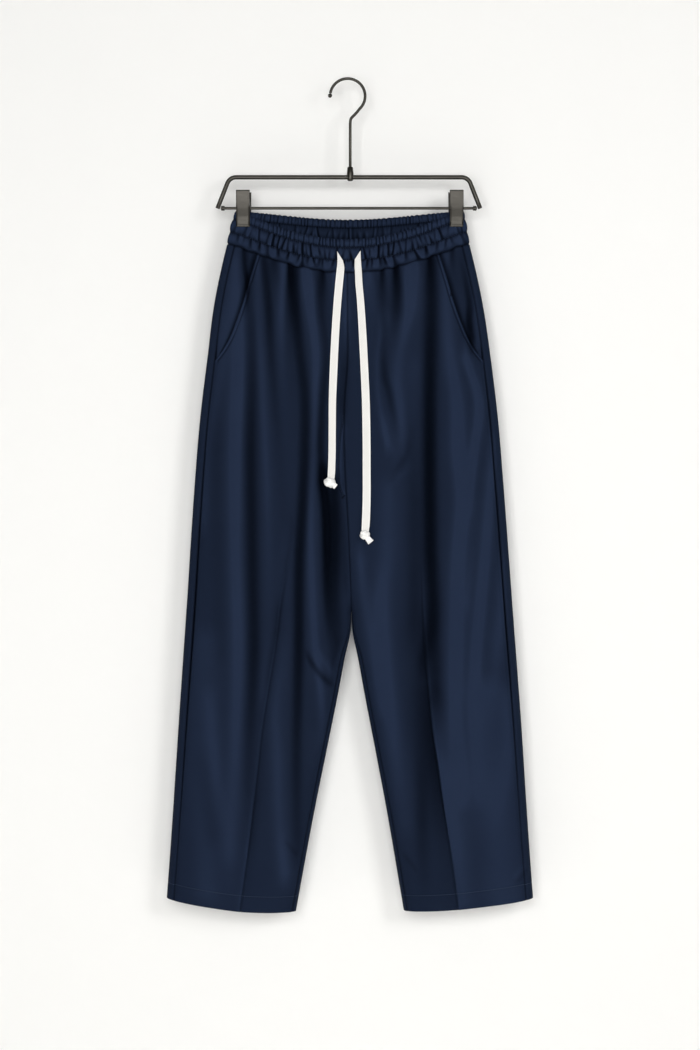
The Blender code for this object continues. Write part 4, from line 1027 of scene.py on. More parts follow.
def band_line(back):
    """Side, turn and share along the band of its columns, evenly spaced from fold to fold; its length."""
    steps = 1500
    fine = np.linspace(BAND_EDGE_TURN, PI, steps)
    turns = np.concatenate([fine, fine[::-1]])
    drop = top_drop(share_of(turns), back) + BAND_HEIGHT / 2
    halves = (-1, turns[:steps], drop[:steps]), (1, turns[steps:], drop[steps:])
    length = lengths(np.concatenate([stacked(*skin(*half)) for half in halves]))
    even = np.linspace(0, length[-1], BAND_COLUMNS + 1)
    stops = np.r_[BAND_EDGE_COLUMNS, even[1:-1], length[-1] - np.array(BAND_EDGE_COLUMNS[::-1])]
    side = np.where(stops < length[steps], -1, 1)
    return side, np.minimum(np.interp(stops, length, turns), PI - 0.001), stops / length[-1], length[-1]


def waistband(back, label):
    """One half of the gathered band: three puffed rows between stitch lines, each with its gathers."""
    sides, turns, at, total = band_line(back)
    low, mid = STITCH_ROWS
    beside = [row + step for row in STITCH_ROWS for step in (-0.01, 0, 0.01)]
    level = np.unique(np.r_[np.linspace(0, 1, BAND_ROWS), beside])
    level = np.repeat(level[:, None], len(turns), axis=1)
    share = share_of(turns)
    drop = top_drop(share, back) + level * (BAND_HEIGHT - SEAM / 2)
    x, y, half = np.zeros((3, *drop.shape))
    for side in (-1, 1):
        own = sides == side
        x[:, own], y[:, own] = skin(side, (2 * PI - turns if back else turns)[own], drop[:, own])
        half[:, own] = half_width(side, drop[:, own])
    inset = share * half
    free = ease((inset - CLIP_REACH) / 14) * 0.75 + 0.25
    loose = np.maximum(free, 1 - ease(inset / 5))
    row = (level >= low).astype(int) + (level >= mid)
    starts, ends = np.array((0, low, mid))[row], np.array((low, mid, 1))[row]
    within = (level - starts) / (ends - starts)
    along = np.broadcast_to(at * total, level.shape)
    seeds = range(BAND_SEEDS[back], BAND_SEEDS[back] + len(BAND_PLEATS))
    gather = np.choose(row, [pleated(along, within, *pair) for pair in zip(BAND_PLEATS, seeds)])
    to_stitch = np.minimum(np.abs(level - low), np.abs(level - mid)) * BAND_HEIGHT
    puckered = np.sin(2 * PI * (along + 1.1 * np.sin(along / 7)) / PUCKER_PITCH)
    gather = gather + PUCKER * puckered * bump(to_stitch, 2.2)
    bulge = np.sin(PI * within)
    groove = -BAND_GROOVE * bump(to_stitch, 0.8)
    points = stacked(x, y, drop)
    facing = 1 if back else -1
    run = np.gradient(points[..., :2], axis=1)
    run = run / np.hypot(run[..., :1], run[..., 1:]) * facing
    normals = stacked(-run[..., 1], run[..., 0], 0.0)
    # Gathers scallop the top edge, and draw it up and down with them.
    arcs = np.abs(np.sin(PI * (along + 1.6 * np.sin(along / 8)) / SCALLOP_PITCH)) ** 0.8 - 0.6
    points[..., 2] -= np.where(row == 0, (0.7 * gather + SCALLOP * arcs) * (1 - within) ** 2 * free, 0)
    if not back:
        points[..., 2] += seam_step(x) * level**5
    from_top, from_seam = level * BAND_HEIGHT, (1 - level) * BAND_HEIGHT
    raised = np.array(PUFFS)[row] * bulge * (0.1 + 0.9 * loose)
    raised = raised + (gather * free + groove) * ease(inset / 3)
    raised = raised + dip(from_seam) - BAND_ROLL * bump(from_top, 1.1)
    outer = points + normals * raised[..., None]
    wall = BAND_WALL * (0.25 + 0.75 * ease(np.minimum(at, 1 - at) * total / 5))
    inner = outer - normals * wall[:, None]
    for grid, least in ((inner, 0.1), (outer, 0.12)):
        grid[..., 1] = facing * np.maximum(facing * grid[..., 1], least)
    # Painted shade in the gathers, grooves and waist seam; painted highlight on the bulges and the top
    # edge.
    shade = GATHER_SHADE * gather * (0.35 + 0.65 * free)
    shade = shade + GROOVE_SHADE * groove + BULGE_SHADE * (bulge - 0.45)
    shade = shade - SEAM_LINE_SHADE * bump(from_seam, 0.9) + TOP_SHADE * bump(from_top, 1.6)
    if back:
        outer, inner, shade = outward(1, outer, inner, shade)
    # Painted shade on the band's inner face, deeper towards its bottom.
    inner_shade = 0.75 * shade - ease((level - 0.2) / 0.4)
    obj = shell(
        f"waistband_{label}_cloth", outer, inner, arc_uv(outer), relief=shade, inner_relief=inner_shade
    )
    return obj, outer, level[:, 0]


# ---------------------------------------------------------------- stitches

STITCH_LENGTH = 2.5
STITCH_PITCH = 3.3
THREAD = 0.3
# Stations along a stitch: place as a share of its length, radius as a share of the thread, lift.
STITCH_SHAPE = (
    (-0.5, 0.35, -0.22), (-0.38, 0.85, 0.06), (0, 1, 0.14), (0.38, 0.85, 0.06), (0.5, 0.35, -0.22),
)


def stitches(name, lines):
    """Machine stitches along lines on the cloth: small rounded bars that dip in at their ends.

    A line is an array of points and an array of outward normals. Each bar is five rings of five points.
    """
    place, thick, lift = np.array(STITCH_SHAPE).T[..., None, None]
    cosine, sine = circle(5).T[..., None]
    all_points = []
    for points, normals in lines:
        points, normals = points * UP, normals * UP
        length = lengths(points)
        middle = np.arange(STITCH_PITCH / 2, length[-1], STITCH_PITCH)

        def at(s, array):
            return np.stack([np.interp(s, length, column) for column in array.T], axis=1)

        tangent = unit(at(middle + 0.6, points) - at(middle - 0.6, points))
        normal = unit(at(middle, normals))
        normal = unit(normal - (normal * tangent).sum(1, keepdims=True) * tangent)
        parts = (at(middle, points), tangent, normal, np.cross(tangent, normal))
        centre, tangent, normal, across = (part[:, None, None] for part in parts)
        rings = centre + place * STITCH_LENGTH * tangent + lift * normal
        all_points.append((rings + thick * THREAD * (cosine * across + sine * normal)).reshape(-1, 3))
    points = np.concatenate(all_points) * UP
    first = 25 * np.arange(len(points) // 25)[:, None, None]
    quads = (grid_faces(5, 5, wrap=True) + first).reshape(-1, 4)
    ends = (np.array([[0, 1, 2, 3, 4], [24, 23, 22, 21, 20]]) + first).reshape(-1, 5)
    obj = add_mesh(name, points, [quads, ends])
    repair_normals(obj)
    return obj


def row_line(outer, at, wanted):
    """Points and normals along the row of a grid that lies nearest to a wanted place."""
    row = int(np.argmin(np.abs(at - wanted)))
    return outer[row], grid_normals(outer)[row]


def on_front(side, x, drop):
    """Points on the front of one half at x and drop, just proud of the cloth, and their normals."""
    outer, inner = edges(side, drop)
    px, py = skin(side, turn_of((x - outer) / (inner - outer)), drop)
    return stacked(px, py - 0.15, drop), np.tile((0.0, -1.0, 0.0), (len(px), 1))


def bar_tack(side, x, drop, lean, length):
    """Lines of one stitch each, side by side across a short bar."""
    sine, cosine = math.sin(lean), math.cos(lean)
    across = np.array((-0.5, 0.5)) * STITCH_PITCH
    x, drop = x + across * cosine, drop - across * sine
    steps = np.arange(-length / 2, length / 2, 0.5)
    return [on_front(side, x + at * sine, drop + at * cosine) for at in steps]


# ---------------------------------------------------------------- hanger

HANGER_X = 0.5
BAR_HALF, BAR_RADIUS = 184, 3.1
BAR_DROP, BAR_END_DROP = 136.2, 180
BAR_SLANT, BAR_BEND = math.radians(21.4), 13.2
ROD_RADIUS, ROD_DROP = 1.95, 179.6
COLLAR_RADIUS, COLLAR_LENGTH, COLLAR_INSET = 3.4, 4.6, 3.2
WIRE_RADIUS = 2.0
HOOK_RADIUS, HOOK_X = 24.5, -1.2
HOOK_ARC = (171, -46)  # degrees from its ball end to where it leaves the circle
HOOK_BALL = 2.9
STEM_X, STEM_TOP_DROP = 2.4, 58
STEM_BEND = ((7.5, -10.5), (1.6, -5), (0.4, -2), (0, 2))
FERRULE_TOP = 121.5
CLIP_X = (-147.4, 151)
CLIP_WIDTH, CLIP_SHEET, CLIP_CORNER = 19.3, 1.1, 1.0
COIL_WIDTH, COIL_RADIUS, COIL_WIRE, COIL_TURNS = 12.4, 3.0, 0.55, 9
BACK_FLANGE, BACK_JAW_SHIFT = 6.5, 1.2
# Side profile of a jaw: drop, distance of its outer face from the middle plane, reach of its flanges.
JAW = (
    (155.5, 12.5, 2.2), (166, 11.6, 4.0), (173, 10.6, 10.0), (180, 9.2, 12.0), (182.4, 8.6, 11.4),
    (183.0, 8.4, 2.0), (192, 5.9, 1.8), (199, 4.7, 1.2), (206, 4.5, 1.15),
)
# Turned profiles: distance along the axis, radius.
FERRULE = (
    (0, 0.05), (0, 2.9), (0.3, 3.3), (1.5, 4.0), (2.6, 4.2), (3.0, 3.9), (3.6, 4.15), (9, 4.65),
    (16.5, 4.7), (17.8, 4.4), (19.2, 3.6), (19.9, 2.6), (19.9, 0.05),
)
COLLAR_RIM = COLLAR_LENGTH / 2
COLLAR = (
    (-COLLAR_RIM, 1.9), (-COLLAR_RIM, 2.9), (-COLLAR_RIM + 0.4, COLLAR_RADIUS), (-0.5, COLLAR_RADIUS),
    (-0.2, 3.1), (0.2, 3.1),
    (0.5, COLLAR_RADIUS), (COLLAR_RIM - 0.4, COLLAR_RADIUS), (COLLAR_RIM, 2.9), (COLLAR_RIM, 1.9),
)


def rounded(route):
    """A route with its corners cut off three times over, its ends kept."""
    route = np.array(route, float)
    for _ in range(3):
        a, b = route[:-1], route[1:]
        cut = np.stack([0.75 * a + 0.25 * b, 0.25 * a + 0.75 * b], axis=1).reshape(-1, 3)
        route = np.concatenate([route[:1], cut, route[-1:]])
    return route


def wire(name, route, radius, sides, reach):
    """A round wire along a route, with its ends rounded off over a short reach."""
    route = np.asarray(route, float)
    first, last = unit(route[1] - route[0]), unit(route[-2] - route[-1])
    t = (1 - np.cos(np.linspace(0, PI / 2, 5, endpoint=False)))[:, None] * reach
    start = np.concatenate([route[0] + first * t, [route[0] + first * reach]])
    stop = np.concatenate([[route[-1] + last * reach], route[-1] + last * t[::-1]])
    route = np.concatenate([start, route[1:-1], stop])
    along = lengths(route)
    to_end = np.clip(np.minimum(along, along[-1] - along) / reach, 0, 1)
    return sweep(name, route, radius * (0.999 * np.sqrt(1 - (1 - to_end) ** 2) + 0.001), sides)


def sweep(name, route, radii, sides):
    """A tube along a route: a ring round each point, whose first axis is carried along the route."""
    route = route * UP
    tangent = unit(np.gradient(route, axis=0))
    guide = np.where(np.abs(tangent[:, :1]) > 0.9, (0.0, 0.0, 1.0), (1.0, 0.0, 0.0))
    first = unit(guide - (guide * tangent).sum(1, keepdims=True) * tangent)
    for k in range(1, len(first)):
        first[k] = unit(first[k - 1] - (first[k - 1] @ tangent[k]) * tangent[k])
    cosine, sine = circle(sides).T[..., None]
    rings = cosine * first[:, None] + sine * np.cross(tangent, first)[:, None]
    return ringed(name, (route[:, None] + radii[:, None, None] * rings) * UP)


def hook_route():
    """From the ball over the top and down the right, then in to the stem and down to the ferrule."""
    arc = np.radians(np.linspace(*HOOK_ARC, 60))
    drop = HOOK_RADIUS - WIRE_RADIUS - HOOK_RADIUS * np.sin(arc)
    route = stacked(HOOK_X + HOOK_RADIUS * np.cos(arc), 0, drop)
    bend = [(STEM_X + out, 0, STEM_TOP_DROP + below) for out, below in STEM_BEND]
    tail = rounded([route[-1], *bend, (STEM_X, 0, STEM_TOP_DROP + 12)])
    return np.concatenate([route[:-1], tail, [(STEM_X, 0, FERRULE_TOP - 0.2)]])


def bar_route():
    """The hanger's bar: up one slanted end, round a bend, across, and down the other end."""
    turn = PI / 2 - BAR_SLANT
    rise = BAR_END_DROP - BAR_DROP - BAR_BEND * (1 - math.cos(turn))
    bend_x = BAR_HALF - rise * math.tan(BAR_SLANT)
    half = [(BAR_HALF, BAR_END_DROP), ((BAR_HALF + bend_x) / 2, BAR_END_DROP - rise / 2)]
    for angle in np.linspace(turn, 0, 17):
        x = bend_x + BAR_BEND * (math.sin(angle) - math.sin(turn))
        half.append((x, BAR_DROP + BAR_BEND * (1 - math.cos(angle))))
    left = [(HANGER_X - x, 0, drop) for x, drop in half]
    return np.array(left + [(HANGER_X + x, 0, drop) for x, drop in reversed(half)])


def turned(name, profile, centre, axis="down", steps=40):
    """A body turned about an axis through the centre, from distances along it and radii."""
    along, radius = np.array(profile, float).T[..., None]
    a, b = (radius * part for part in circle(steps).T)
    points = stacked(a, b, along) if axis == "down" else stacked(along, a, b)
    return ringed(name, points + centre)


def sphere(name, centre, radius):
    angle = np.linspace(0, PI, 25)
    profile = stacked(-np.cos(angle) * radius, np.maximum(np.sin(angle) * radius, 0.02))
    return turned(name, profile, centre)


def jaw(name, x, back):
    """A clip's formed sheet jaw: a bowed plate, rounded flanges, and a frame on its lower half.

    Across its grid the plate turns back at both sides into the flanges, and down it follows the side
    profile.
    """
    rows = np.array(JAW, float).T
    top, end = rows[0][[0, -1]]
    low = np.linspace(top, end, 48)[:, None]
    out, reach = (np.interp(low, rows[0], column) for column in rows[1:])
    wide, corner = CLIP_WIDTH / 2, CLIP_CORNER
    bend = np.linspace(0, PI / 2, 7)
    left = [(-wide, -1.0), *zip(-wide + corner * (1 - np.cos(bend)), -corner * (1 - np.sin(bend)))]
    flat = [(s * (wide - corner), 0.0) for s in np.linspace(-1, 1, 40)[1:-1]]
    across, depth = np.array(left + flat + [(-a, b) for a, b in reversed(left)]).T
    tip = np.maximum(np.minimum(reach, BACK_FLANGE) if back else reach, CLIP_SHEET + 0.2)
    depth = np.where(np.abs(depth) >= 1.0, -tip, np.maximum(depth, -tip))
    # The raised frame: two side ribs and a bottom rib on the lower half.
    to_flange = wide - np.abs(across)
    rib = bump(1.5 - to_flange, 0.55) * ease((low - 174) / 6) * ease((206.5 - low) / 1.5)
    rib = np.maximum(rib, bump(low - 204.4, 0.7) * ease((to_flange - 1.2) / 0.8))
    rolled = -0.5 * bump(low - top, 0.7) - 0.4 * bump(low - end, 0.6)
    face = out + depth + np.where(depth > -0.9, 0.45 * rib + rolled, 0)
    if back:
        x = x - math.copysign(BACK_JAW_SHIFT, x)
    outer = stacked(x + across, face if back else -face, low)
    return shell(name, outer[:, ::-1] if back else outer, CLIP_SHEET * 0.8)


def make_hanger():
    """The hanger's pieces, each with whether it is formed or sprung, and the CAD node it replaces."""
    tip = hook_route()[0]
    ball = (tip[0] - 0.5, 0, tip[2] + HOOK_BALL + 0.3)
    to_slant = (BAR_END_DROP - ROD_DROP + ROD_RADIUS) * math.tan(BAR_SLANT)
    reach = BAR_HALF - BAR_RADIUS / math.cos(BAR_SLANT) - to_slant - SEAM
    rod = [(HANGER_X + x, 0, ROD_DROP) for x in np.linspace(-reach, reach, 40)]
    made = [
        (wire("hook_wire", hook_route(), WIRE_RADIUS, 24, 0.5), False, "hanger_hook"),
        (sphere("hook_ball_tip", ball, HOOK_BALL + 0.1), False, "hook_ball"),
        (turned("hook_ferrule", FERRULE, (STEM_X, 0, FERRULE_TOP)), False, "hanger_ferrule"),
        (wire("hanger_bar_tube", bar_route(), BAR_RADIUS, 32, 0.6), False, "hanger_bar"),
        (wire("clip_rod", rod, ROD_RADIUS, 24, 0.5), False, "hanger_rod"),
    ]
    angle = np.linspace(0, 2 * PI * COIL_TURNS, 24 * COIL_TURNS)
    for side, label, clip_x in ((-1, "left", CLIP_X[0]), (1, "right", CLIP_X[1])):
        place = (HANGER_X + side * (reach - COLLAR_INSET), 0, ROD_DROP)
        coil_x = clip_x + COIL_WIDTH * (angle / angle[-1] - 0.5)
        coil = stacked(coil_x, COIL_RADIUS * np.cos(angle), ROD_DROP + COIL_RADIUS * np.sin(angle))
        made += [
            (turned(f"collar_{label}", COLLAR, place, "across", 32), False, f"rod_collar_{label}"),
            (jaw(f"clip_{label}_front_jaw", clip_x, False), True, f"clip_front_{label}"),
            (jaw(f"clip_{label}_back_jaw", clip_x, True), True, f"clip_back_{label}"),
            (wire(f"clip_{label}_spring", coil, COIL_WIRE, 8, 0.2), True, f"clip_spring_{label}"),
        ]
    return made


# ---------------------------------------------------------------- materials


class Wires:
    """Adds nodes to a tree and links values or sockets into them."""

    def __init__(self, tree):
        self.tree = tree

    def set(self, socket, value):
        if isinstance(value, bpy.types.NodeSocket):
            self.tree.links.new(value, socket)
        else:
            socket.default_value = value

    def fill(self, node, **inputs):
        """Sets a node's inputs by name, with _ for a space."""
        for label, value in inputs.items():
            self.set(node.inputs[label.replace("_", " ")], value)

    def node(self, kind, settings=(), **inputs):
        """A new shader node of a kind, with its own settings and inputs."""
        made = self.tree.nodes.new("ShaderNode" + kind)
        for label, value in dict(settings).items():
            setattr(made, label, value)
        self.fill(made, **inputs)
        return made

    def math(self, kind, a, b=0.0):
        made = self.node("Math", {"operation": kind})
        self.set(made.inputs[0], a)
        self.set(made.inputs[1], b)
        return made.outputs[0]

    def add(self, a, b):
        return self.math("ADD", a, b)

    def times(self, a, b):
        return self.math("MULTIPLY", a, b)

    def waves(self, a):
        """Thread by thread, from 0 to 1."""
        return self.math("ABSOLUTE", self.math("SINE", self.times(a, PI)))

    def noise(self, vector, scale, detail=2.0, roughness=0.5):
        settings = {"Vector": vector, "Scale": scale, "Detail": detail, "Roughness": roughness}
        return self.node("TexNoise", **settings).outputs["Fac"]

    def stretch(self, vector, scale):
        return self.node("Mapping", Vector=vector, Scale=scale).outputs[0]

    def split(self, vector):
        made = self.node("SeparateXYZ")
        self.set(made.inputs[0], vector)
        return made.outputs

    def mix(self, factor, a, b):
        return self.node("Mix", {"data_type": "RGBA"}, Factor=factor, A=a, B=b).outputs["Result"]

    def remap(self, value, low, high, to_low, to_high):
        made = self.node("MapRange", Value=value, From_Min=low, From_Max=high)
        self.fill(made, To_Min=to_low, To_Max=to_high)
        return made.outputs["Result"]

    def group(self, tree, **inputs):
        return self.node("Group", {"node_tree": tree}, **inputs).outputs

    def bump(self, shader, strength, distance, height):
        made = self.node("Bump", Strength=strength, Distance=distance, Height=height)
        self.set(shader.inputs["Normal"], made.outputs["Normal"])


def shared_group(name, build, **inputs):
    """A shader node group: its inputs by name, None for a place, and what build makes of them."""
    tree = bpy.data.node_groups.new(name, "ShaderNodeTree")
    kinds = {type(None): "Vector", float: "Float", tuple: "Color"}
    for label, value in inputs.items():
        kind = "NodeSocket" + kinds[type(value)]
        socket = tree.interface.new_socket(name=label.replace("_", " "), in_out="INPUT", socket_type=kind)
        if value is not None:
            socket.default_value = value
    w = Wires(tree)
    made = build(w, tree.nodes.new("NodeGroupInput").outputs)
    for label in made:
        kind = "NodeSocketColor" if label == "Color" else "NodeSocketFloat"
        tree.interface.new_socket(name=label, in_out="OUTPUT", socket_type=kind)
    w.fill(tree.nodes.new("NodeGroupOutput"), **made)
    return tree


def twill(w, given):
    """Twill weave from cloth coordinates in metres: diagonal ribs over crossing threads."""
    place = w.split(given["Cloth"])
    u, v = (w.times(place[k], given["Threads per metre"]) for k in (0, 1))
    diagonal = w.math("SINE", w.times(w.add(w.times(u, given["Slope"]), v), PI / 2))
    slub = w.noise(w.stretch(given["Cloth"], (60, 900, 1)), 1.0, 1.0)
    height = w.add(w.times(diagonal, 0.5), w.times(w.times(w.waves(u), w.waves(v)), 0.5))
    height = w.add(height, w.times(slub, 0.35))
    return {"Height": height, "Mask": w.remap(height, -0.4, 1.2, 0.0, 1.0)}


def uneven_tone(w, given):
    """Uneven tone of dyed cloth and plated metal: slow and quick noise in the object's own space."""
    slow = w.noise(given["Place"], given["Slow"], 3.0, 0.55)
    quick = w.noise(given["Place"], given["Quick"], 4.0, 0.6)
    return {"Tone": w.add(w.times(slow, 0.7), w.times(quick, 0.3)), "Speck": quick}


def rubbed_edges(w, given):
    """Light rubbed edges: where the surface bends sharply outwards, broken up by noise."""
    sharp = w.remap(w.node("NewGeometry").outputs["Pointiness"], 0.52, 0.62, 0.0, 1.0)
    broken = w.remap(w.noise(given["Place"], 420.0, 3.0), 0.35, 0.65, 0.2, 1.0)
    return {"Wear": w.times(w.times(sharp, broken), given["Amount"])}


def painted_fold_shade(w, given):
    """Paints shade into the hollows of folds and highlight onto their crests of a colour, by the relief
    in mm.

    The tone halves over each halving depth, within limits.
    """
    height = w.node("Attribute", {"attribute_name": "relief"}).outputs["Fac"]
    tone = w.math("POWER", 2.0, w.math("DIVIDE", height, given["Halving depth"]))
    tone = w.math("MINIMUM", w.math("MAXIMUM", tone, 0.14), 1.6)
    scaled = w.node("VectorMath", {"operation": "SCALE"}, Scale=tone)
    w.set(scaled.inputs[0], given["Color"])
    return {"Color": scaled.outputs[0]}


TWILL = shared_group("twill_weave", twill, Cloth=None, Threads_per_metre=1500.0, Slope=2.0)
TONE = shared_group("uneven_tone", uneven_tone, Place=None, Slow=9.0, Quick=160.0)
WEAR = shared_group("rubbed_edges", rubbed_edges, Place=None, Amount=0.5)
# Painted shade in the hollows of folds and painted highlight on their crests.
PAINTED_SHADE = shared_group("painted_fold_shade", painted_fold_shade, Color=(1, 1, 1, 1), Halving_depth=1.75)
HALVING_DEPTH = 1.5


def start_material(name):
    """A new material, its wires, shader, and the object's own place and cloth coordinates."""
    made = bpy.data.materials.new(name)
    made.use_nodes = True
    w = Wires(made.node_tree)
    place = w.node("TexCoord").outputs
    return made, w, made.node_tree.nodes["Principled BSDF"], place["Object"], place["UV"]


def cloth_material(name, deep, light, roughness, threads, ribs, sheen, tint, edge=None, **finish):
    """Woven cloth: twill ribs as bump and as a slight change of colour, an uneven dye and a soft sheen,
    with painted shade in the hollows of its folds and painted highlight on their crests.

    Ribs is their height in metres, and sheen its weight and roughness. Edge gives the distance from the
    middle, in metres, past which a tape's edge bands take the light colour, a painted highlight.
    """
    finish = {"slope": 2.0, "wear": 0.25, "specular": 0.01} | finish
    made, w, shader, place, cloth = start_material(name)
    weave = w.group(TWILL, Cloth=cloth, Threads_per_metre=threads, Slope=finish["slope"])
    tone = w.group(TONE, Place=place, Slow=9.0, Quick=260.0)
    rubbed = w.group(WEAR, Place=place, Amount=0.35)
    share = w.add(w.times(weave["Mask"], 0.45), w.times(tone["Tone"], 0.55))
    share = w.add(share, w.times(rubbed["Wear"], finish["wear"]))
    if edge is not None:
        # A painted highlight on the tape's edge bands.
        band = w.remap(w.math("ABSOLUTE", w.split(cloth)[0]), edge - 0.0004, edge + 0.0003, 0.0, 0.75)
        share = w.add(w.times(share, 0.7), band)
    # Painted shade and highlight by the relief of the folds.
    color = w.group(PAINTED_SHADE, Color=w.mix(share, (*deep, 1), (*light, 1)), Halving_depth=HALVING_DEPTH)
    w.fill(
        shader,
        Base_Color=color["Color"],
        Roughness=w.remap(tone["Tone"], 0.3, 0.7, roughness - 0.05, roughness + 0.05),
        Specular_IOR_Level=finish["specular"],
        Specular_Tint=(*tint, 1),
        Sheen_Weight=sheen[0],
        Sheen_Roughness=sheen[1],
        Sheen_Tint=(*tint, 1),
    )
    w.bump(shader, 0.6, ribs, w.add(weave["Height"], w.times(tone["Speck"], 0.3)))
    return made


def metal_material(name, deep, light, roughness):
    """Gunmetal plating over steel: uneven tone, brushed along the wire, rubbed lighter at its edges."""
    made, w, shader, place, _ = start_material(name)
    tone = w.group(TONE, Place=place, Slow=30.0, Quick=900.0)
    rubbed = w.group(WEAR, Place=place, Amount=0.8)
    brushed = w.noise(w.stretch(place, (90, 1400, 1400)), 1.0, 2.0)
    share = w.add(w.add(w.times(tone["Tone"], 0.6), w.times(brushed, 0.3)), rubbed["Wear"])
    rough = w.remap(brushed, 0.2, 0.8, roughness - 0.06, roughness + 0.1)
    w.fill(shader, Base_Color=w.mix(share, (*deep, 1), (*light, 1)), Roughness=rough, Metallic=1.0)
    w.bump(shader, 0.3, 0.00005, w.add(brushed, w.times(tone["Speck"], 0.6)))
    return made


SHEEN, BLUE, WHITE = (0.004, 0.35), (0.30, 0.42, 0.72), (1, 1, 1)
TWILL_CLOTH = (1500.0, 0.00012, SHEEN, BLUE)  # threads a metre, ribs, sheen and its tint
SEWING = (4000.0, 0.00005, SHEEN, BLUE)
COTTON = {"wear": 0.1, "slope": 1.0, "specular": 0.3}
TAPE_HIGHLIGHT_BAND = TAPE_EDGE * TAPE_WIDTH * MM * 0.46  # from a tape's middle to its edge band, which is painted lighter as a highlight

# Deep and light colours.
NAVY = (0.0074, 0.0120, 0.0265), (0.0128, 0.0200, 0.0398)
NAVY_INSIDE = (0.0068, 0.0094, 0.019), (0.0118, 0.016, 0.029)
TAPE_WHITE = (0.74, 0.725, 0.68), (0.96, 0.95, 0.925)
KNOT_WHITE = (0.88, 0.87, 0.84), (0.97, 0.965, 0.945)
THREAD_NAVY = (0.012, 0.018, 0.038), (0.03, 0.042, 0.075)
THREAD_LIGHT = (0.035, 0.05, 0.09), (0.07, 0.095, 0.15)
THREAD_DARK = (0.003, 0.0045, 0.01), (0.007, 0.01, 0.02)
PLATING = (0.030, 0.028, 0.024), (0.075, 0.071, 0.062)
SHEET = (0.034, 0.032, 0.028), (0.070, 0.066, 0.059)

navy = cloth_material("navy_twill", *NAVY, 0.5, *TWILL_CLOTH)
navy_inside = cloth_material("navy_twill_wrong_side", *NAVY_INSIDE, 0.7, *TWILL_CLOTH, slope=-2.0)
cotton = cloth_material(
    "cotton_tape", *TAPE_WHITE, 0.85, 1100.0, 0.00025, (0.8, 0.5), WHITE, edge=TAPE_HIGHLIGHT_BAND, **COTTON
)
knotted = cloth_material(
    "knotted_cotton", *KNOT_WHITE, 0.85, 1100.0, 0.0002, (0.9, 0.5), WHITE, **COTTON
)
thread = cloth_material("navy_thread", *THREAD_NAVY, 0.5, *SEWING)
light_thread = cloth_material("light_thread", *THREAD_LIGHT, 0.5, *SEWING)
dark_thread = cloth_material("dark_thread", *THREAD_DARK, 0.6, *SEWING)
metal = metal_material("gunmetal_plating", *PLATING, 0.34)
dark_metal = metal_material("gunmetal_sheet", *SHEET, 0.42)

# ---------------------------------------------------------------- putting it together


def dress(obj, material, slot, *nodes):
    """Gives a piece its material, attaches it to the one body, and hides the CAD nodes that it replaces.
    Slot is not used.
    """
    obj.data.materials.append(material)
    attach(obj, "root")
    if nodes:
        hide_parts(*nodes)


def dress_cloth(obj, node, material=navy, slot="navy_cloth"):
    dress(obj, material, slot, node)


for piece in (tape_left, tape_right):
    piece.data.materials.append(cotton)
for piece in left_knotted + right_knotted:
    piece.data.materials.append(knotted)

band_lines, pocket_lines, hem_lines = [], [], []
for side, label in ((-1, "left"), (1, "right")):
    front, front_outer, front_levels, from_start = front_panel(side, label)
    back, back_outer, back_levels = back_panel(side, label)
    dress_cloth(front, f"front_{label}")
    dress_cloth(back, f"back_{label}")
    dress_cloth(pocket_bearer(side, label), f"pocket_bearer_{label}")
    dress_cloth(hem_facing(side, label), f"hem_{label}", navy_inside, "navy_cloth_inside")
    hem_stitching = hem_drop(side, 1.0) - HEM_DEPTH
    hem_lines.append(row_line(front_outer, front_levels, hem_stitching))
    hem_lines.append(row_line(back_outer, back_levels, hem_stitching))
    topstitch = np.argmin(np.abs(from_start - TOPSTITCH_IN), axis=1)
    beside_pocket = front_levels < POCKET_TIP_LEVEL - 1
    places = np.arange(len(topstitch))[beside_pocket], topstitch[beside_pocket]
    pocket_lines.append((front_outer[places], grid_normals(front_outer)[places]))

for back, label in ((False, "front"), (True, "back")):
    band, band_outer, band_levels = waistband(back, label)
    dress_cloth(band, f"waistband_{label}")
    band_lines += [row_line(band_outer, band_levels, row) for row in STITCH_ROWS]

fly_drops = np.linspace(FLY_LINE[0][0], FLY_LINE[-1][0], 60)
band_lines.append(on_front(-1, smooth(fly_drops, FLY_LINE), fly_drops))
for tack in BAR_TACKS:
    pocket_lines += bar_tack(*tack)
for name, lines, material in (
    ("band_and_fly_stitching", band_lines, thread),
    ("hem_stitching", hem_lines, light_thread),
    ("pocket_stitching", pocket_lines, dark_thread),
):
    dress(stitches(name, lines), material, "navy_cloth")

for obj, formed, node in make_hanger():
    material, slot = (dark_metal, "dark_gunmetal") if formed else (metal, "gunmetal")
    dress(obj, material, slot, node)

# ---------------------------------------------------------------- stage and light

WALL_Y, WALL_TOP = 0.05, 1.6
FLOOR_Z, FLOOR_Y = -1.75, -5.0
STAGE_HALF = 4.0
STAGE_CURVE = 0.35
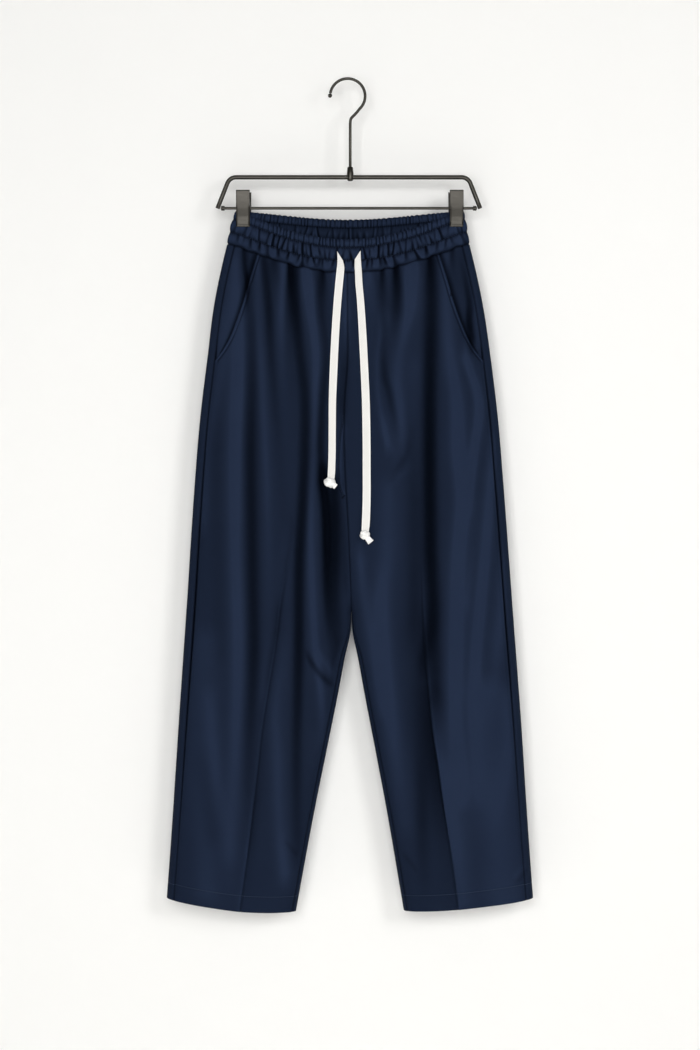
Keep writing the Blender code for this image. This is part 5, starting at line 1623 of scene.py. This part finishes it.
# Lights: name, place, aim, size, power.
LIGHTS = (
    ("key", (1.5, -2.9, 0.1), (0, 0, -0.6), 0.9, 24),
    ("front", (-0.3, -3.6, -0.35), (0, 0, -0.62), 1.6, 79),
    ("back", (0.5, 3.0, -0.2), (0, 0, -0.62), 1.8, 55),
)
WORLD_COLOR, WORLD_STRENGTH = (1.0, 0.995, 0.98, 1), 0.13


def stage():
    """A pale wall that curves into a pale floor, seen only from its front; light passes from behind."""
    angle = np.linspace(0, PI / 2, 24)
    curve_y = WALL_Y - STAGE_CURVE * (1 - np.cos(angle))
    curve_z = FLOOR_Z + STAGE_CURVE * (1 - np.sin(angle))
    y, z = np.r_[WALL_Y, curve_y, FLOOR_Y][:, None], np.r_[WALL_TOP, curve_z, FLOOR_Z][:, None]
    grid = stacked(np.array((-STAGE_HALF, STAGE_HALF)), y, -z) / MM
    obj = add_mesh("pale_wall", grid, [grid_faces(len(y), 2)])
    made, w, shader, _, _ = start_material("pale_wall")
    w.fill(shader, Base_Color=(0.93, 0.925, 0.905, 1), Roughness=0.9)
    behind = w.node("NewGeometry").outputs["Backfacing"]
    hidden = w.math("MAXIMUM", behind, w.node("LightPath").outputs["Is Shadow Ray"])
    mix = w.node("MixShader", Fac=hidden)
    w.set(mix.inputs[1], shader.outputs["BSDF"])
    w.set(mix.inputs[2], w.node("BsdfTransparent").outputs["BSDF"])
    w.fill(made.node_tree.nodes["Material Output"], Surface=mix.outputs["Shader"])
    obj.data.materials.append(made)


stage()
for name, place, aim, size, power in LIGHTS:
    data = bpy.data.lights.new(name, "AREA")
    data.shape = "RECTANGLE"
    data.size, data.size_y = size, size
    data.energy = power
    light = add_object(name, data)
    light.location = place
    light.rotation_euler = (Vector(aim) - Vector(place)).to_track_quat("-Z", "Y").to_euler()

scene.world = bpy.data.worlds.new("pale_world")
scene.world.use_nodes = True
sky = scene.world.node_tree.nodes["Background"].inputs
sky["Color"].default_value = WORLD_COLOR
sky["Strength"].default_value = WORLD_STRENGTH
scene.view_settings.view_transform = "Standard"
